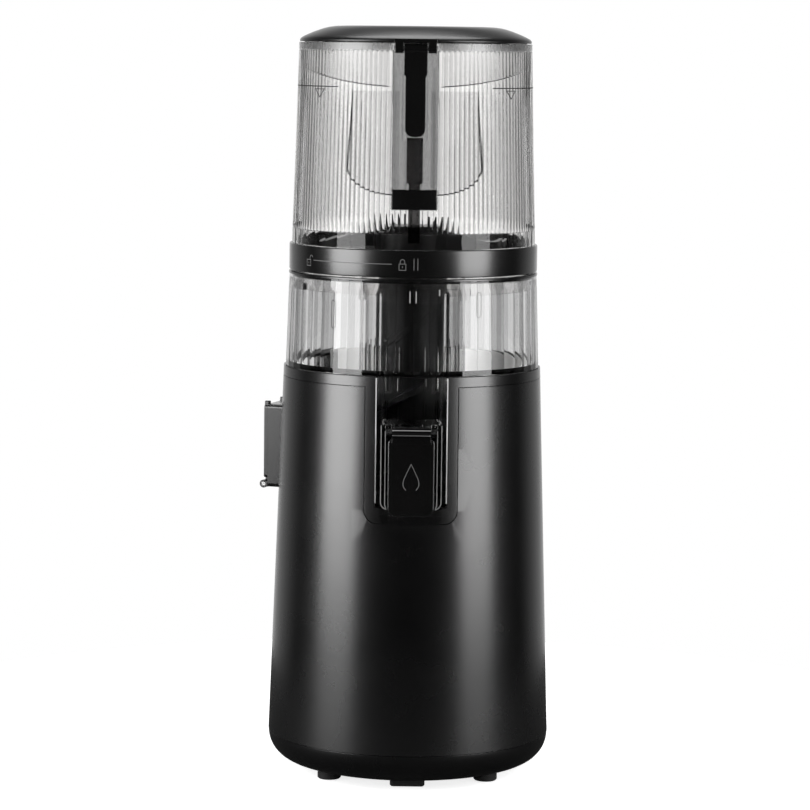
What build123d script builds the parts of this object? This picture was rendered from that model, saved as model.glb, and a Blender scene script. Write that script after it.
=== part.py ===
from build123d import *
import os
from math import acos, atan2, cos, degrees, pi, radians, sin, sqrt, tan

# Cold press juicer. Millimetres, +Z up, front towards -Y.
# The origin is where the machine's upright axis meets the table.

# ---------------------------------------------------------------- clearances
running_gap = 0.08  # radial, shafts and pins in their bores
slip_gap = 0.4  # between pieces that lift or turn by hand
seam = 0.25  # parting line between fixed mouldings
swing_gap = 0.6  # beside a lever or flap that swings

# ------------------------------------------------ heights, from the table up
foot_height = 6.0
base_height = 19.0
shell_height = 236.5
bowl_seat_gap = 0.5
bowl_height = 54.0
bowl_rim_height = 6.0
ring_groove = 1.0
ring_height = 17.0
facet_band_height = 9.5
reed_height = 113.2
hopper_rim_height = 4.3
lid_gap = 0.4
lid_edge_height = 2.5
lid_bevel_height = 7.8

base_seam_z = foot_height + base_height
shell_top_z = base_seam_z + shell_height
bowl_seat_z = shell_top_z + bowl_seat_gap
bowl_top_z = bowl_seat_z + bowl_height
bowl_rim_z = bowl_top_z + bowl_rim_height
ring_base_z = bowl_rim_z + ring_groove
ring_top_z = ring_base_z + ring_height
reed_base_z = ring_top_z + facet_band_height
reed_top_z = reed_base_z + reed_height
hopper_top_z = reed_top_z + hopper_rim_height
lid_base_z = hopper_top_z + lid_gap
lid_crease_z = lid_base_z + lid_edge_height
lid_top_z = lid_crease_z + lid_bevel_height

# --------------------------------------------------------- radii of the stack
shell_base_r = 90.5
shell_top_r = 82.3
shell_wall = 3.0
bowl_step = 1.1  # the bowl stands in from the shell's top edge
bowl_draft = 1.7  # the bowl narrows by this towards its rim
bowl_wall = 2.4
ring_step = 0.2
ring_wall = 2.2
hopper_step = 1.8
hopper_draft = 3.4
hopper_wall = 2.7
lid_step = 0.4
lid_wall = 2.5

bowl_base_r = shell_top_r - bowl_step
bowl_top_r = bowl_base_r - bowl_draft
bowl_bore_r = bowl_top_r - bowl_wall
ring_r = bowl_top_r - ring_step
hopper_base_r = ring_r - hopper_step
hopper_top_r = hopper_base_r - hopper_draft
hopper_skirt_r = ring_r - ring_wall
lid_r = hopper_top_r - lid_step
facet_count = 48
reed_count = 144
reed_depth = 0.55
facet_step = 0.15  # the facet band stands proud of the reeds


def shell_radius(z):
    """Outer radius of the tapered body at height z."""
    return shell_base_r + (shell_top_r - shell_base_r) * (z - base_seam_z) / shell_height


def hopper_radius(z):
    """Outer radius of the tapered hopper at height z."""
    return hopper_base_r - hopper_draft * (z - reed_base_z) / reed_height


# --------------------------------------------------------------- well and bowl
collar_band_height = 6.2
collar_wall = 2.5
well_depth = 92.5
well_floor = 3.0
bowl_floor_gap = 9.0
bowl_floor = 3.0

collar_r = shell_top_r - shell_wall - 0.3
well_r = collar_r - collar_wall
bowl_low_r = well_r - slip_gap
bowl_inner_r = bowl_low_r - bowl_wall
well_floor_z = shell_top_z - well_depth
well_under_z = well_floor_z - well_floor
bowl_base_z = well_floor_z + bowl_floor_gap
bowl_floor_z = bowl_base_z + bowl_floor
shell_edge_z = shell_top_z - collar_band_height - seam

# ------------------------------------------------- slots in the body for spouts
border = 6.5  # width of the collar's band round each slot
slot_corner = 8.0
border_drop = 3.2  # how much deeper the band is under a slot
slot_floor_corner = 1.5
juice_slot_half = 22.5
juice_slot_base_z = well_floor_z + 11.0
pulp_slot_half = 20.0
pulp_slot_base_z = well_floor_z + 7.5
pulp_azimuth = -110.0  # from the front, towards the left and back


def spout_plane(azimuth):
    """Upright plane through the axis: x across the spout, y up, z outwards."""
    heading = radians(azimuth - 90)
    outward = Vector(cos(heading), sin(heading), 0)
    return Plane(origin=(0, 0, 0), x_dir=(-outward.Y, outward.X, 0), z_dir=outward)


front = spout_plane(0)
left_rear = spout_plane(pulp_azimuth)
side = Plane.YZ
slots = [
    (front, juice_slot_half, juice_slot_base_z),
    (left_rear, pulp_slot_half, pulp_slot_base_z),
]


def upright_slot(half_width, base, corner):
    """Outline of a slot with rounded lower corners, open at the body's top edge."""
    with Locations((0, base)):
        Rectangle(2 * half_width, shell_top_z - base + 1, align=(Align.CENTER, Align.MIN))
    fillet(vertices().group_by(Axis.Y)[0], corner)


def turned_profile(*points):
    """Closed outline of (radius, height) points, ready to revolve about the axis."""
    Polygon(*points, align=None)


# ------------------------------------------------------------------- drive sizes
module = 1.0
wheel_teeth = 60
pinion_teeth = 12
tooth_thinning = 0.12  # taken off each flank for backlash
pressure_angle = 20.0
centre_distance = module * (wheel_teeth + pinion_teeth) / 2
wheel_tip_r = module * wheel_teeth / 2 + 0.9 * module

shaft_r = 6.0
hex_flats = 12.0
hex_gap = 0.2
socket_depth = 41.0
hex_head_height = 47.5
motor_shaft_r = 3.0
cluster_pin_r = 3.0

fan_height = 10.0
fan_clearance = 10.0  # fan above the underside of the bottom cover
fan_gap = 4.0
motor_r = 36.0
motor_height = 54.0
motor_wall = 2.0
fan_base_z = foot_height + fan_clearance
fan_top_z = fan_base_z + fan_height
motor_base_z = fan_top_z + fan_gap
motor_top_z = motor_base_z + motor_height

gearbox_base_z = motor_top_z
gearbox_floor = 3.0
gearbox_gap = 3.0  # round and under the wheels
gearbox_wall = 2.5
wheel_width = 8.5
output_width = 12.0
stage_gap = 3.5
gear_play = 0.5

gearbox_floor_z = gearbox_base_z + gearbox_floor
cluster_base_z = gearbox_floor_z + gearbox_gap + gear_play
cluster_wheel_top_z = cluster_base_z + wheel_width
motor_shaft_top_z = cluster_wheel_top_z + 1.5
gear_clip_height = 1.2
output_base_z = cluster_wheel_top_z + stage_gap + 2 * gear_clip_height + 1.1
output_top_z = output_base_z + output_width
cluster_top_z = output_top_z + 2.5
cover_boss_z = cluster_top_z + gear_play
cover_plate_z = cover_boss_z + gearbox_gap
gearbox_top_z = cover_plate_z + gearbox_floor
gearbox_split_z = cluster_wheel_top_z + stage_gap
gearbox_inner_r = wheel_tip_r + gearbox_gap
gearbox_r = gearbox_inner_r + gearbox_wall
shaft_end_z = output_base_z - gear_clip_height - 2.0
hex_base_z = well_under_z + 0.5
hex_top_z = hex_base_z + hex_head_height

bush_r = 9.0
bush_flange_r = 11.0
bush_height = 10.0
seal_r = 10.0
seal_height = 6.5
tower_r = 14.0
bush_flange = 2.0

end_cap_height = 4.0
rotor_r = 15.0
stator_gap = 0.8
fan_r = 30.0


def tooth_half_angle(radius, teeth):
    """Half the angle that an involute tooth fills at a radius, in radians."""
    pitch_r = module * teeth / 2
    base_r = pitch_r * cos(radians(pressure_angle))
    pitch_angle = radians(pressure_angle)
    local_angle = acos(min(1.0, base_r / radius))
    half_at_pitch = pi / (2 * teeth) - tooth_thinning / pitch_r
    return half_at_pitch + tan(pitch_angle) - pitch_angle - tan(local_angle) + local_angle


def gear_outline(teeth, flank_steps, first_tooth):
    """Spur gear outline with its first tooth at the given angle in degrees."""
    pitch_r = module * teeth / 2
    root_r = pitch_r - 1.2 * module
    tip_r = pitch_r + 0.9 * module
    levels = [root_r + (tip_r - root_r) * step / flank_steps for step in range(flank_steps + 1)]
    points = []
    for tooth in range(teeth):
        centre = radians(first_tooth) + 2 * pi * tooth / teeth
        rising = [(radius, centre - tooth_half_angle(radius, teeth)) for radius in levels]
        falling = [(radius, centre + tooth_half_angle(radius, teeth)) for radius in reversed(levels)]
        points += [(radius * cos(angle), radius * sin(angle)) for radius, angle in rising + falling]
    Polygon(*points, align=None)


# ============================================================ body and its well
boss_circle_r = 76.0
boss_r = 6.0
boss_angles = (45, 90)  # first angle, step
boss_base_z = base_seam_z + 5.0
boss_top_z = boss_base_z + 22.0
screw_r = 2.0
screw_head_r = 4.0
screw_head_height = 2.4
case_screw_length = 14.0
cover_screw_length = 22.0

switch_rise = 17.0  # switch above the gear case
switch_z = gearbox_top_z + switch_rise
switch_flat_y = shell_radius(switch_z) - 1.7
bezel_half_width = 13.0
bezel_half_height = 16.0
bezel_flange = 2.2
barrel_half_width = 11.0
barrel_half_height = 13.7
rocker_r = 11.0
rocker_half_width = 8.5
rocker_pivot_y = switch_flat_y - 3.8

gland_rise = 17.0
gland_z = base_seam_z + gland_rise
gland_r = 6.5
gland_neck_r = 5.0
gland_bore_r = 3.5
gland_flat_y = shell_radius(gland_z) - 0.7

with BuildPart() as body_shell:
    with BuildSketch(Plane.XZ):
        turned_profile(
            (shell_base_r, base_seam_z),
            (shell_radius(shell_edge_z), shell_edge_z),
            (shell_radius(shell_edge_z) - shell_wall, shell_edge_z),
            (shell_base_r - shell_wall, base_seam_z),
        )
    revolve(axis=Axis.Z)
    # screw bosses for the bottom cover, each on a web from the wall
    with BuildSketch(Plane.XY.offset(boss_base_z)):
        with PolarLocations(boss_circle_r, 4, start_angle=boss_angles[0]):
            Circle(boss_r)
        with PolarLocations((boss_circle_r + shell_base_r - shell_wall) / 2, 4, start_angle=boss_angles[0]):
            Rectangle(shell_base_r - shell_wall - boss_circle_r, boss_r)
    extrude(amount=boss_top_z - boss_base_z)
    with BuildSketch(Plane.XY.offset(boss_base_z)):
        with PolarLocations(boss_circle_r, 4, start_angle=boss_angles[0]):
            Circle(screw_r + running_gap)
    extrude(amount=boss_top_z - boss_base_z - 3, mode=Mode.SUBTRACT)
    for plane, half_width, base in slots:
        with BuildSketch(plane):
            upright_slot(half_width + border, base - border - border_drop, slot_corner)
        extrude(amount=2 * shell_base_r, mode=Mode.SUBTRACT)
    # flat seat and window of the switch, and the hole of the cord inlet
    rear = Plane(origin=(0, switch_flat_y, 0), x_dir=(1, 0, 0), z_dir=(0, 1, 0))
    with BuildSketch(rear):
        with Locations((0, -switch_z)):
            Rectangle(2 * (bezel_half_width + seam), 2 * (bezel_half_height + seam))
    extrude(amount=shell_wall, mode=Mode.SUBTRACT)
    with BuildSketch(rear):
        with Locations((0, -switch_z)):
            Rectangle(2 * (barrel_half_width + seam), 2 * (barrel_half_height + seam))
    extrude(amount=2 * shell_wall, both=True, mode=Mode.SUBTRACT)
    inlet = Plane(origin=(0, gland_flat_y, gland_z), x_dir=(1, 0, 0), z_dir=(0, 1, 0))
    with BuildSketch(inlet):
        Circle(gland_r + seam)
    extrude(amount=shell_wall, mode=Mode.SUBTRACT)
    with BuildSketch(inlet):
        Circle(gland_neck_r + seam)
    extrude(amount=2 * shell_wall, both=True, mode=Mode.SUBTRACT)

post_x = 25.0
post_front_y = -16.0
post_rear_y = centre_distance + 16.0
post_r = 5.0
post_places = [(x, y) for x in (-post_x, post_x) for y in (post_front_y, post_rear_y)]
drip_boss_r = 12.0
drip_boss_height = 4.0
drip_bore_r = hex_flats / sqrt(3) + 0.7

with BuildPart() as seat_collar:
    # blocks that line the two slots, trimmed to the body's taper
    for plane, half_width, base in slots:
        with BuildSketch(plane):
            upright_slot(half_width + border - seam, base - border - border_drop + seam, slot_corner - seam)
        extrude(amount=2 * shell_base_r)
    with BuildSketch(Plane.XZ):
        turned_profile(
            (0, well_under_z),
            (shell_radius(well_under_z), well_under_z),
            (shell_top_r, shell_top_z),
            (0, shell_top_z),
        )
    revolve(axis=Axis.Z, mode=Mode.INTERSECT)
    # well tube and floor, and the band on the body's top edge
    with BuildSketch(Plane.XZ):
        turned_profile(
            (0, well_under_z),
            (collar_r, well_under_z),
            (collar_r, shell_edge_z + seam),
            (shell_radius(shell_edge_z + seam), shell_edge_z + seam),
            (shell_top_r, shell_top_z),
            (0, shell_top_z),
        )
    revolve(axis=Axis.Z)
    with BuildSketch(Plane.XY.offset(well_floor_z)):
        Circle(well_r)
    extrude(amount=well_depth, mode=Mode.SUBTRACT)
    for plane, half_width, base in slots:
        with BuildSketch(plane):
            upright_slot(half_width, base, slot_floor_corner)
        extrude(amount=2 * shell_base_r, mode=Mode.SUBTRACT)
    # drip boss round the drive shaft
    with BuildSketch(Plane.XY.offset(well_floor_z)):
        Circle(drip_boss_r)
    extrude(amount=drip_boss_height)
    with BuildSketch(Plane.XY.offset(well_under_z)):
        Circle(drip_bore_r)
    extrude(amount=well_floor + drip_boss_height, mode=Mode.SUBTRACT)
    # recessed holes of the screws that hang the gearbox
    with BuildSketch(Plane.XY.offset(well_under_z)):
        with Locations(*post_places):
            Circle(screw_r + running_gap)
    extrude(amount=well_floor, mode=Mode.SUBTRACT)
    with BuildSketch(Plane.XY.offset(well_floor_z)):
        with Locations(*post_places):
            Circle(screw_head_r + seam)
    extrude(amount=-screw_head_height, mode=Mode.SUBTRACT)

edge_r = 18.0
cover_wall = 3.0
cover_r = shell_base_r - 0.2
cover_top_z = base_seam_z - seam
cover_flat_r = cover_r - edge_r
lip_r = shell_base_r - shell_wall - slip_gap
lip_wall = 2.4
lip_height = 4.0
cover_screw_z = foot_height + 13.0

with BuildPart() as bottom_cover:
    with BuildSketch(Plane.XZ):
        with BuildLine():
            Line((0, foot_height), (cover_flat_r, foot_height))
            CenterArc((cover_flat_r, foot_height + edge_r), edge_r, -90, 90)
            Polyline(
                (cover_r, foot_height + edge_r),
                (cover_r, cover_top_z),
                (cover_r - cover_wall, cover_top_z),
                (cover_r - cover_wall, foot_height + edge_r),
            )
            CenterArc((cover_flat_r, foot_height + edge_r), edge_r - cover_wall, 0, -90)
            Polyline(
                (cover_flat_r, foot_height + cover_wall),
                (0, foot_height + cover_wall),
                (0, foot_height),
            )
        make_face()
    revolve(axis=Axis.Z)
    # lip that centres the cover inside the shell
    with BuildSketch(Plane.XZ):
        turned_profile(
            (lip_r - lip_wall, base_seam_z - 7),
            (lip_r + 1, base_seam_z - 7),
            (lip_r + 1, cover_top_z),
            (lip_r, cover_top_z),
            (lip_r, base_seam_z + lip_height),
            (lip_r - lip_wall, base_seam_z + lip_height),
        )
    revolve(axis=Axis.Z)
    # screw towers, bored from below
    with BuildSketch(Plane.XY.offset(foot_height + cover_wall)):
        with PolarLocations(boss_circle_r, 4, start_angle=boss_angles[0]):
            Circle(boss_r)
    extrude(amount=boss_base_z - foot_height - cover_wall)
    with BuildSketch(Plane.XY.offset(foot_height)):
        with PolarLocations(boss_circle_r, 4, start_angle=boss_angles[0]):
            Circle(screw_head_r + seam)
    extrude(amount=cover_screw_z - foot_height, mode=Mode.SUBTRACT)
    with BuildSketch(Plane.XY.offset(foot_height)):
        with PolarLocations(boss_circle_r, 4, start_angle=boss_angles[0]):
            Circle(screw_r + running_gap)
    extrude(amount=boss_base_z, mode=Mode.SUBTRACT)
    # air slots under the fan
    with BuildSketch(Plane.XY.offset(foot_height)):
        with PolarLocations(33, 20):
            SlotOverall(22, 4)
    extrude(amount=cover_wall, mode=Mode.SUBTRACT)

foot_circle_r = cover_flat_r - 7.3
foot_r = 7.5
centre_pad_r = 12.0
foot_edge = 0.8
foot_azimuth = 50.0
front_foot_width = 22.0
front_foot_depth = 12.0

with BuildPart() as round_feet:
    with BuildSketch(Plane.XY):
        for azimuth in (foot_azimuth, 180 - foot_azimuth, 180 + foot_azimuth, 360 - foot_azimuth):
            heading = radians(azimuth - 90)
            with Locations((foot_circle_r * cos(heading), foot_circle_r * sin(heading))):
                Circle(foot_r)
        Circle(centre_pad_r)
    extrude(amount=foot_height)
    chamfer(round_feet.faces().group_by(Axis.Z)[0].edges(), foot_edge)

with BuildPart() as front_foot:
    with BuildSketch(Plane.XY):
        with Locations((0, -foot_circle_r + front_foot_depth / 2)):
            RectangleRounded(front_foot_width, front_foot_depth, 2.5)
    extrude(amount=foot_height)
    chamfer(front_foot.faces().sort_by(Axis.Z)[0].edges(), foot_edge)

with BuildPart() as cord_gland:
    with BuildSketch(Plane(origin=(0, gland_flat_y, gland_z), x_dir=(1, 0, 0), z_dir=(0, 1, 0))):
        Circle(gland_r)
    extrude(amount=2.5)
    fillet(cord_gland.faces().sort_by(Axis.Y)[-1].edges(), 0.8)
    with BuildSketch(Plane(origin=(0, gland_flat_y, gland_z), x_dir=(1, 0, 0), z_dir=(0, 1, 0))):
        Circle(gland_neck_r)
    extrude(amount=-9)
    with BuildSketch(Plane(origin=(0, gland_flat_y + 3, gland_z), x_dir=(1, 0, 0), z_dir=(0, 1, 0))):
        Circle(gland_bore_r)
    extrude(amount=-15, mode=Mode.SUBTRACT)

window_half_width = rocker_half_width + slip_gap
window_half_height = rocker_r + slip_gap
bezel_depth = 15.0
bezel_back_y = switch_flat_y - bezel_depth
rocker_pin_r = 1.5

with BuildPart() as switch_bezel:
    rear = Plane(origin=(0, switch_flat_y, 0), x_dir=(1, 0, 0), z_dir=(0, 1, 0))
    with BuildSketch(rear):
        with Locations((0, -switch_z)):
            RectangleRounded(2 * bezel_half_width, 2 * bezel_half_height, 2)
    extrude(amount=bezel_flange)
    fillet(switch_bezel.faces().sort_by(Axis.Y)[-1].edges(), 0.6)
    with BuildSketch(rear):
        with Locations((0, -switch_z)):
            Rectangle(2 * barrel_half_width, 2 * barrel_half_height)
    extrude(amount=-bezel_depth)
    with BuildSketch(rear.offset(bezel_flange)):
        with Locations((0, -switch_z)):
            Rectangle(2 * window_half_width, 2 * window_half_height)
    extrude(amount=-(bezel_flange + bezel_depth - 3), mode=Mode.SUBTRACT)
    with BuildSketch(side):
        with Locations((rocker_pivot_y, switch_z)):
            Circle(rocker_pin_r + running_gap)
    extrude(amount=barrel_half_width, both=True, mode=Mode.SUBTRACT)

with BuildPart() as switch_rocker:
    with BuildSketch(side):
        with Locations((rocker_pivot_y, switch_z)):
            Circle(rocker_r)
        with BuildLine():
            Polyline(
                (rocker_pivot_y - 3, switch_z - rocker_r - 1),
                (rocker_pivot_y + 9.5, switch_z - rocker_r - 1),
                (rocker_pivot_y + 7, switch_z),
                (rocker_pivot_y + 9.5, switch_z + rocker_r + 1),
                (rocker_pivot_y - 3, switch_z + rocker_r + 1),
                close=True,
            )
        make_face(mode=Mode.INTERSECT)
    extrude(amount=rocker_half_width, both=True)
    with BuildSketch(side):
        with Locations((rocker_pivot_y, switch_z)):
            Circle(rocker_pin_r)
    extrude(amount=barrel_half_width - 1, both=True)

# ================================================================ motor and gears
with BuildPart() as motor_can:
    with BuildSketch(Plane.XZ):
        turned_profile(
            (motor_shaft_r + running_gap, motor_top_z),
            (motor_r, motor_top_z),
            (motor_r, motor_base_z + end_cap_height),
            (motor_r - motor_wall, motor_base_z + end_cap_height),
            (motor_r - motor_wall, motor_top_z - motor_wall),
            (motor_shaft_r + 4, motor_top_z - motor_wall),
            (motor_shaft_r + 4, motor_top_z - 6),
            (motor_shaft_r + running_gap, motor_top_z - 6),
        )
    revolve(axis=Axis.Z)

motor_screw_circle_r = 25.0

with BuildPart() as motor_end_cap:
    with BuildSketch(Plane.XY.offset(motor_base_z)):
        Circle(motor_r)
        Circle(motor_shaft_r + running_gap, mode=Mode.SUBTRACT)
        with PolarLocations(22, 6):
            Circle(4, mode=Mode.SUBTRACT)
    extrude(amount=end_cap_height)

stack_base_z = motor_base_z + 12
stack_height = 30.0

with BuildPart() as stator:
    with BuildSketch(Plane.XY.offset(stack_base_z)):
        Circle(motor_r - motor_wall)
        Circle(rotor_r + stator_gap, mode=Mode.SUBTRACT)
        with PolarLocations(rotor_r + 9, 4, start_angle=45):
            Circle(6, mode=Mode.SUBTRACT)
    extrude(amount=stack_height)

with BuildPart() as rotor:
    with BuildSketch(Plane.XY.offset(stack_base_z)):
        Circle(rotor_r)
        Circle(motor_shaft_r, mode=Mode.SUBTRACT)
        with PolarLocations(rotor_r - 1, 12):
            Rectangle(4, 1.6, mode=Mode.SUBTRACT)
    extrude(amount=stack_height)

with BuildPart() as motor_shaft:
    with BuildSketch(Plane.XY.offset(fan_base_z)):
        Circle(motor_shaft_r)
    extrude(amount=motor_shaft_top_z - fan_base_z)
    chamfer(motor_shaft.faces().sort_by(Axis.Z)[-1].edges(), 0.5)

with BuildPart() as motor_pinion:
    with BuildSketch(Plane.XY.offset(gearbox_floor_z + 2)):
        gear_outline(pinion_teeth, 3, 180 / pinion_teeth)
        Circle(motor_shaft_r, mode=Mode.SUBTRACT)
    extrude(amount=motor_shaft_top_z - gearbox_floor_z - 3)

with BuildPart() as cooling_fan:
    with BuildSketch(Plane.XY.offset(fan_base_z)):
        Circle(9)
        Circle(motor_shaft_r, mode=Mode.SUBTRACT)
    extrude(amount=fan_height)
    with BuildSketch(Plane.XY.offset(fan_top_z - 1.5)):
        Circle(fan_r)
        Circle(8, mode=Mode.SUBTRACT)
    extrude(amount=1.5)
    with BuildSketch(Plane.XY.offset(fan_base_z)):
        with PolarLocations((fan_r + 8) / 2, 9):
            Rectangle(fan_r - 9, 1.6, rotation=24)
    extrude(amount=fan_height - 1)


def gearbox_outline(radius):
    """Long outline of the gear case, round the machine's axis and the cluster pin."""
    with Locations((0, centre_distance / 2)):
        SlotCenterToCenter(centre_distance, 2 * radius, rotation=90)


with BuildPart() as gearbox_base:
    with BuildSketch(Plane.XY.offset(gearbox_base_z)):
        gearbox_outline(gearbox_r)
    extrude(amount=gearbox_split_z - gearbox_base_z)
    with BuildSketch(Plane.XY.offset(gearbox_floor_z)):
        gearbox_outline(gearbox_inner_r)
    extrude(amount=gearbox_split_z - gearbox_floor_z, mode=Mode.SUBTRACT)
    with BuildSketch(Plane.XY.offset(gearbox_floor_z)):
        with Locations((0, centre_distance)):
            Circle(cluster_pin_r + 3)
    extrude(amount=gearbox_gap)
    with BuildSketch(Plane.XY.offset(gearbox_base_z)):
        Circle(motor_shaft_r + 5)
        with Locations((0, centre_distance)):
            Circle(cluster_pin_r)
        with PolarLocations(motor_screw_circle_r, 4, start_angle=45):
            Circle(screw_r + running_gap)
    extrude(amount=gearbox_floor + gearbox_gap, mode=Mode.SUBTRACT)

with BuildPart() as gearbox_cover:
    with BuildSketch(Plane.XY.offset(gearbox_split_z)):
        gearbox_outline(gearbox_r)
    extrude(amount=gearbox_top_z - gearbox_split_z)
    with BuildSketch(Plane.XY.offset(gearbox_split_z)):
        gearbox_outline(gearbox_inner_r)
    extrude(amount=cover_plate_z - gearbox_split_z, mode=Mode.SUBTRACT)
    with BuildSketch(Plane.XY.offset(cover_boss_z)):
        with Locations((0, centre_distance)):
            Circle(cluster_pin_r + 3)
    extrude(amount=gearbox_gap)
    # tower round the drive shaft and posts up to the well's floor
    with BuildSketch(Plane.XY.offset(cover_boss_z)):
        Circle(tower_r)
    extrude(amount=well_under_z - cover_boss_z)
    with BuildSketch(Plane.XY.offset(cover_plate_z)):
        with Locations(*post_places):
            Circle(post_r)
    extrude(amount=well_under_z - cover_plate_z)
    with BuildSketch(Plane.XY.offset(well_under_z - case_screw_length - 2)):
        with Locations(*post_places):
            Circle(screw_r + running_gap)
    extrude(amount=case_screw_length + 2, mode=Mode.SUBTRACT)
    with BuildSketch(Plane.XZ):
        turned_profile(
            (0, cover_boss_z - 1),
            (bush_r, cover_boss_z - 1),
            (bush_r, cover_boss_z + bush_height),
            (shaft_r + 1, cover_boss_z + bush_height),
            (shaft_r + 1, well_under_z - seal_height - bush_height - 1),
            (bush_r, well_under_z - seal_height - bush_height - 1),
            (bush_r, well_under_z - seal_height - 0.5),
            (seal_r, well_under_z - seal_height - 0.5),
            (seal_r, well_under_z + 1),
            (0, well_under_z + 1),
        )
    revolve(axis=Axis.Z, mode=Mode.SUBTRACT)
    with BuildSketch(Plane.XY.offset(cover_boss_z - 1)):
        with Locations((0, centre_distance)):
            Circle(cluster_pin_r)
    extrude(amount=gearbox_top_z - cover_boss_z + 2, mode=Mode.SUBTRACT)

with BuildPart() as cluster_pin:
    with BuildSketch(Plane.XY.offset(gearbox_base_z)):
        with Locations((0, centre_distance)):
            Circle(cluster_pin_r)
    extrude(amount=gearbox_top_z - gearbox_base_z)

cluster_centre = Plane(origin=(0, centre_distance, cluster_base_z))
with BuildPart() as cluster_gear:
    with BuildSketch(cluster_centre):
        gear_outline(wheel_teeth, 1, 0)
    extrude(amount=wheel_width)
    with BuildSketch(cluster_centre.offset(wheel_width)):
        gear_outline(pinion_teeth, 3, 180 / pinion_teeth)
    extrude(amount=cluster_top_z - cluster_wheel_top_z)
    with BuildSketch(cluster_centre):
        Circle(24)
        Circle(9, mode=Mode.SUBTRACT)
    extrude(amount=2.5, mode=Mode.SUBTRACT)
    with BuildSketch(cluster_centre):
        Circle(cluster_pin_r + running_gap)
    extrude(amount=cluster_top_z - cluster_base_z, mode=Mode.SUBTRACT)

shaft_flat = 1.5


def shaft_section():
    """Round shaft with one driving flat."""
    Circle(shaft_r)
    with Locations((0, -shaft_r)):
        Rectangle(2 * shaft_r, 2 * shaft_flat, mode=Mode.SUBTRACT)


with BuildPart() as output_gear:
    with BuildSketch(Plane.XY.offset(output_base_z)):
        gear_outline(wheel_teeth, 1, 0)
    extrude(amount=output_width)
    with BuildSketch(Plane.XY.offset(output_base_z)):
        Circle(24)
        Circle(12, mode=Mode.SUBTRACT)
    extrude(amount=3, mode=Mode.SUBTRACT)
    with BuildSketch(Plane.XY.offset(output_top_z)):
        Circle(24)
        Circle(12, mode=Mode.SUBTRACT)
    extrude(amount=-3, mode=Mode.SUBTRACT)
    with BuildSketch(Plane.XY.offset(output_base_z)):
        shaft_section()
    extrude(amount=output_width, mode=Mode.SUBTRACT)

with BuildPart() as drive_shaft:
    with BuildSketch(Plane.XY.offset(shaft_end_z)):
        shaft_section()
    extrude(amount=output_top_z - shaft_end_z)
    with BuildSketch(Plane.XY.offset(output_top_z)):
        Circle(shaft_r)
    extrude(amount=hex_base_z - output_top_z)
    with BuildSketch(Plane.XY.offset(hex_base_z)):
        RegularPolygon(hex_flats / 2, 6, major_radius=False)
    extrude(amount=hex_head_height)
    chamfer(drive_shaft.faces().sort_by(Axis.Z)[-1].edges(), 0.8)

with BuildPart() as gear_clip:
    with BuildSketch(Plane.XY.offset(output_base_z - gear_clip_height)):
        Circle(shaft_r + 3)
        shaft_hole = shaft_r
        Circle(shaft_hole, mode=Mode.SUBTRACT)
        with Locations((0, shaft_r + 2)):
            Rectangle(5, 6, mode=Mode.SUBTRACT)
    extrude(amount=gear_clip_height)

with BuildPart() as lower_bush:
    with BuildSketch(Plane.XZ):
        turned_profile(
            (shaft_r + running_gap, cover_boss_z - bush_flange),
            (bush_flange_r, cover_boss_z - bush_flange),
            (bush_flange_r, cover_boss_z),
            (bush_r, cover_boss_z),
            (bush_r, cover_boss_z + bush_height),
            (shaft_r + running_gap, cover_boss_z + bush_height),
        )
    revolve(axis=Axis.Z)

with BuildPart() as upper_bush:
    with BuildSketch(Plane.XY.offset(well_under_z - seal_height - 0.5 - bush_height)):
        Circle(bush_r)
        Circle(shaft_r + running_gap, mode=Mode.SUBTRACT)
    extrude(amount=bush_height)

with BuildPart() as shaft_seal:
    with BuildSketch(Plane.XZ):
        turned_profile(
            (seal_r - 2, well_under_z - seal_height),
            (seal_r, well_under_z - seal_height),
            (seal_r, well_under_z - 0.5),
            (shaft_r + running_gap, well_under_z - 0.5),
            (shaft_r + running_gap, well_under_z - 2.5),
            (seal_r - 2, well_under_z - 2.5),
        )
    revolve(axis=Axis.Z)

with BuildPart() as gearbox_screws:
    with BuildSketch(Plane.XY.offset(well_floor_z - screw_head_height)):
        with Locations(*post_places):
            Circle(screw_head_r)
    extrude(amount=screw_head_height - 0.3)
    with BuildSketch(Plane.XY.offset(well_floor_z - screw_head_height)):
        with Locations(*post_places):
            Circle(screw_r)
    extrude(amount=-case_screw_length)

with BuildPart() as motor_screws:
    with BuildSketch(Plane.XY.offset(gearbox_floor_z)):
        with PolarLocations(motor_screw_circle_r, 4, start_angle=45):
            Circle(screw_head_r)
    extrude(amount=screw_head_height)
    with BuildSketch(Plane.XY.offset(gearbox_floor_z)):
        with PolarLocations(motor_screw_circle_r, 4, start_angle=45):
            Circle(screw_r)
    extrude(amount=-gearbox_floor)

with BuildPart() as bottom_screws:
    with BuildSketch(Plane.XY.offset(cover_screw_z)):
        with PolarLocations(boss_circle_r, 4, start_angle=boss_angles[0]):
            Circle(screw_head_r)
    extrude(amount=-screw_head_height)
    with BuildSketch(Plane.XY.offset(cover_screw_z)):
        with PolarLocations(boss_circle_r, 4, start_angle=boss_angles[0]):
            Circle(screw_r)
    extrude(amount=cover_screw_length)

board_x = boss_circle_r - 18.0
board_thickness = 1.6
board_half = 26.0
board_base_z = base_seam_z + 9.0
board_height = 46.0
part_depth = 9.0
capacitor_r = 6.0
board_guide = 16.0

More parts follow.
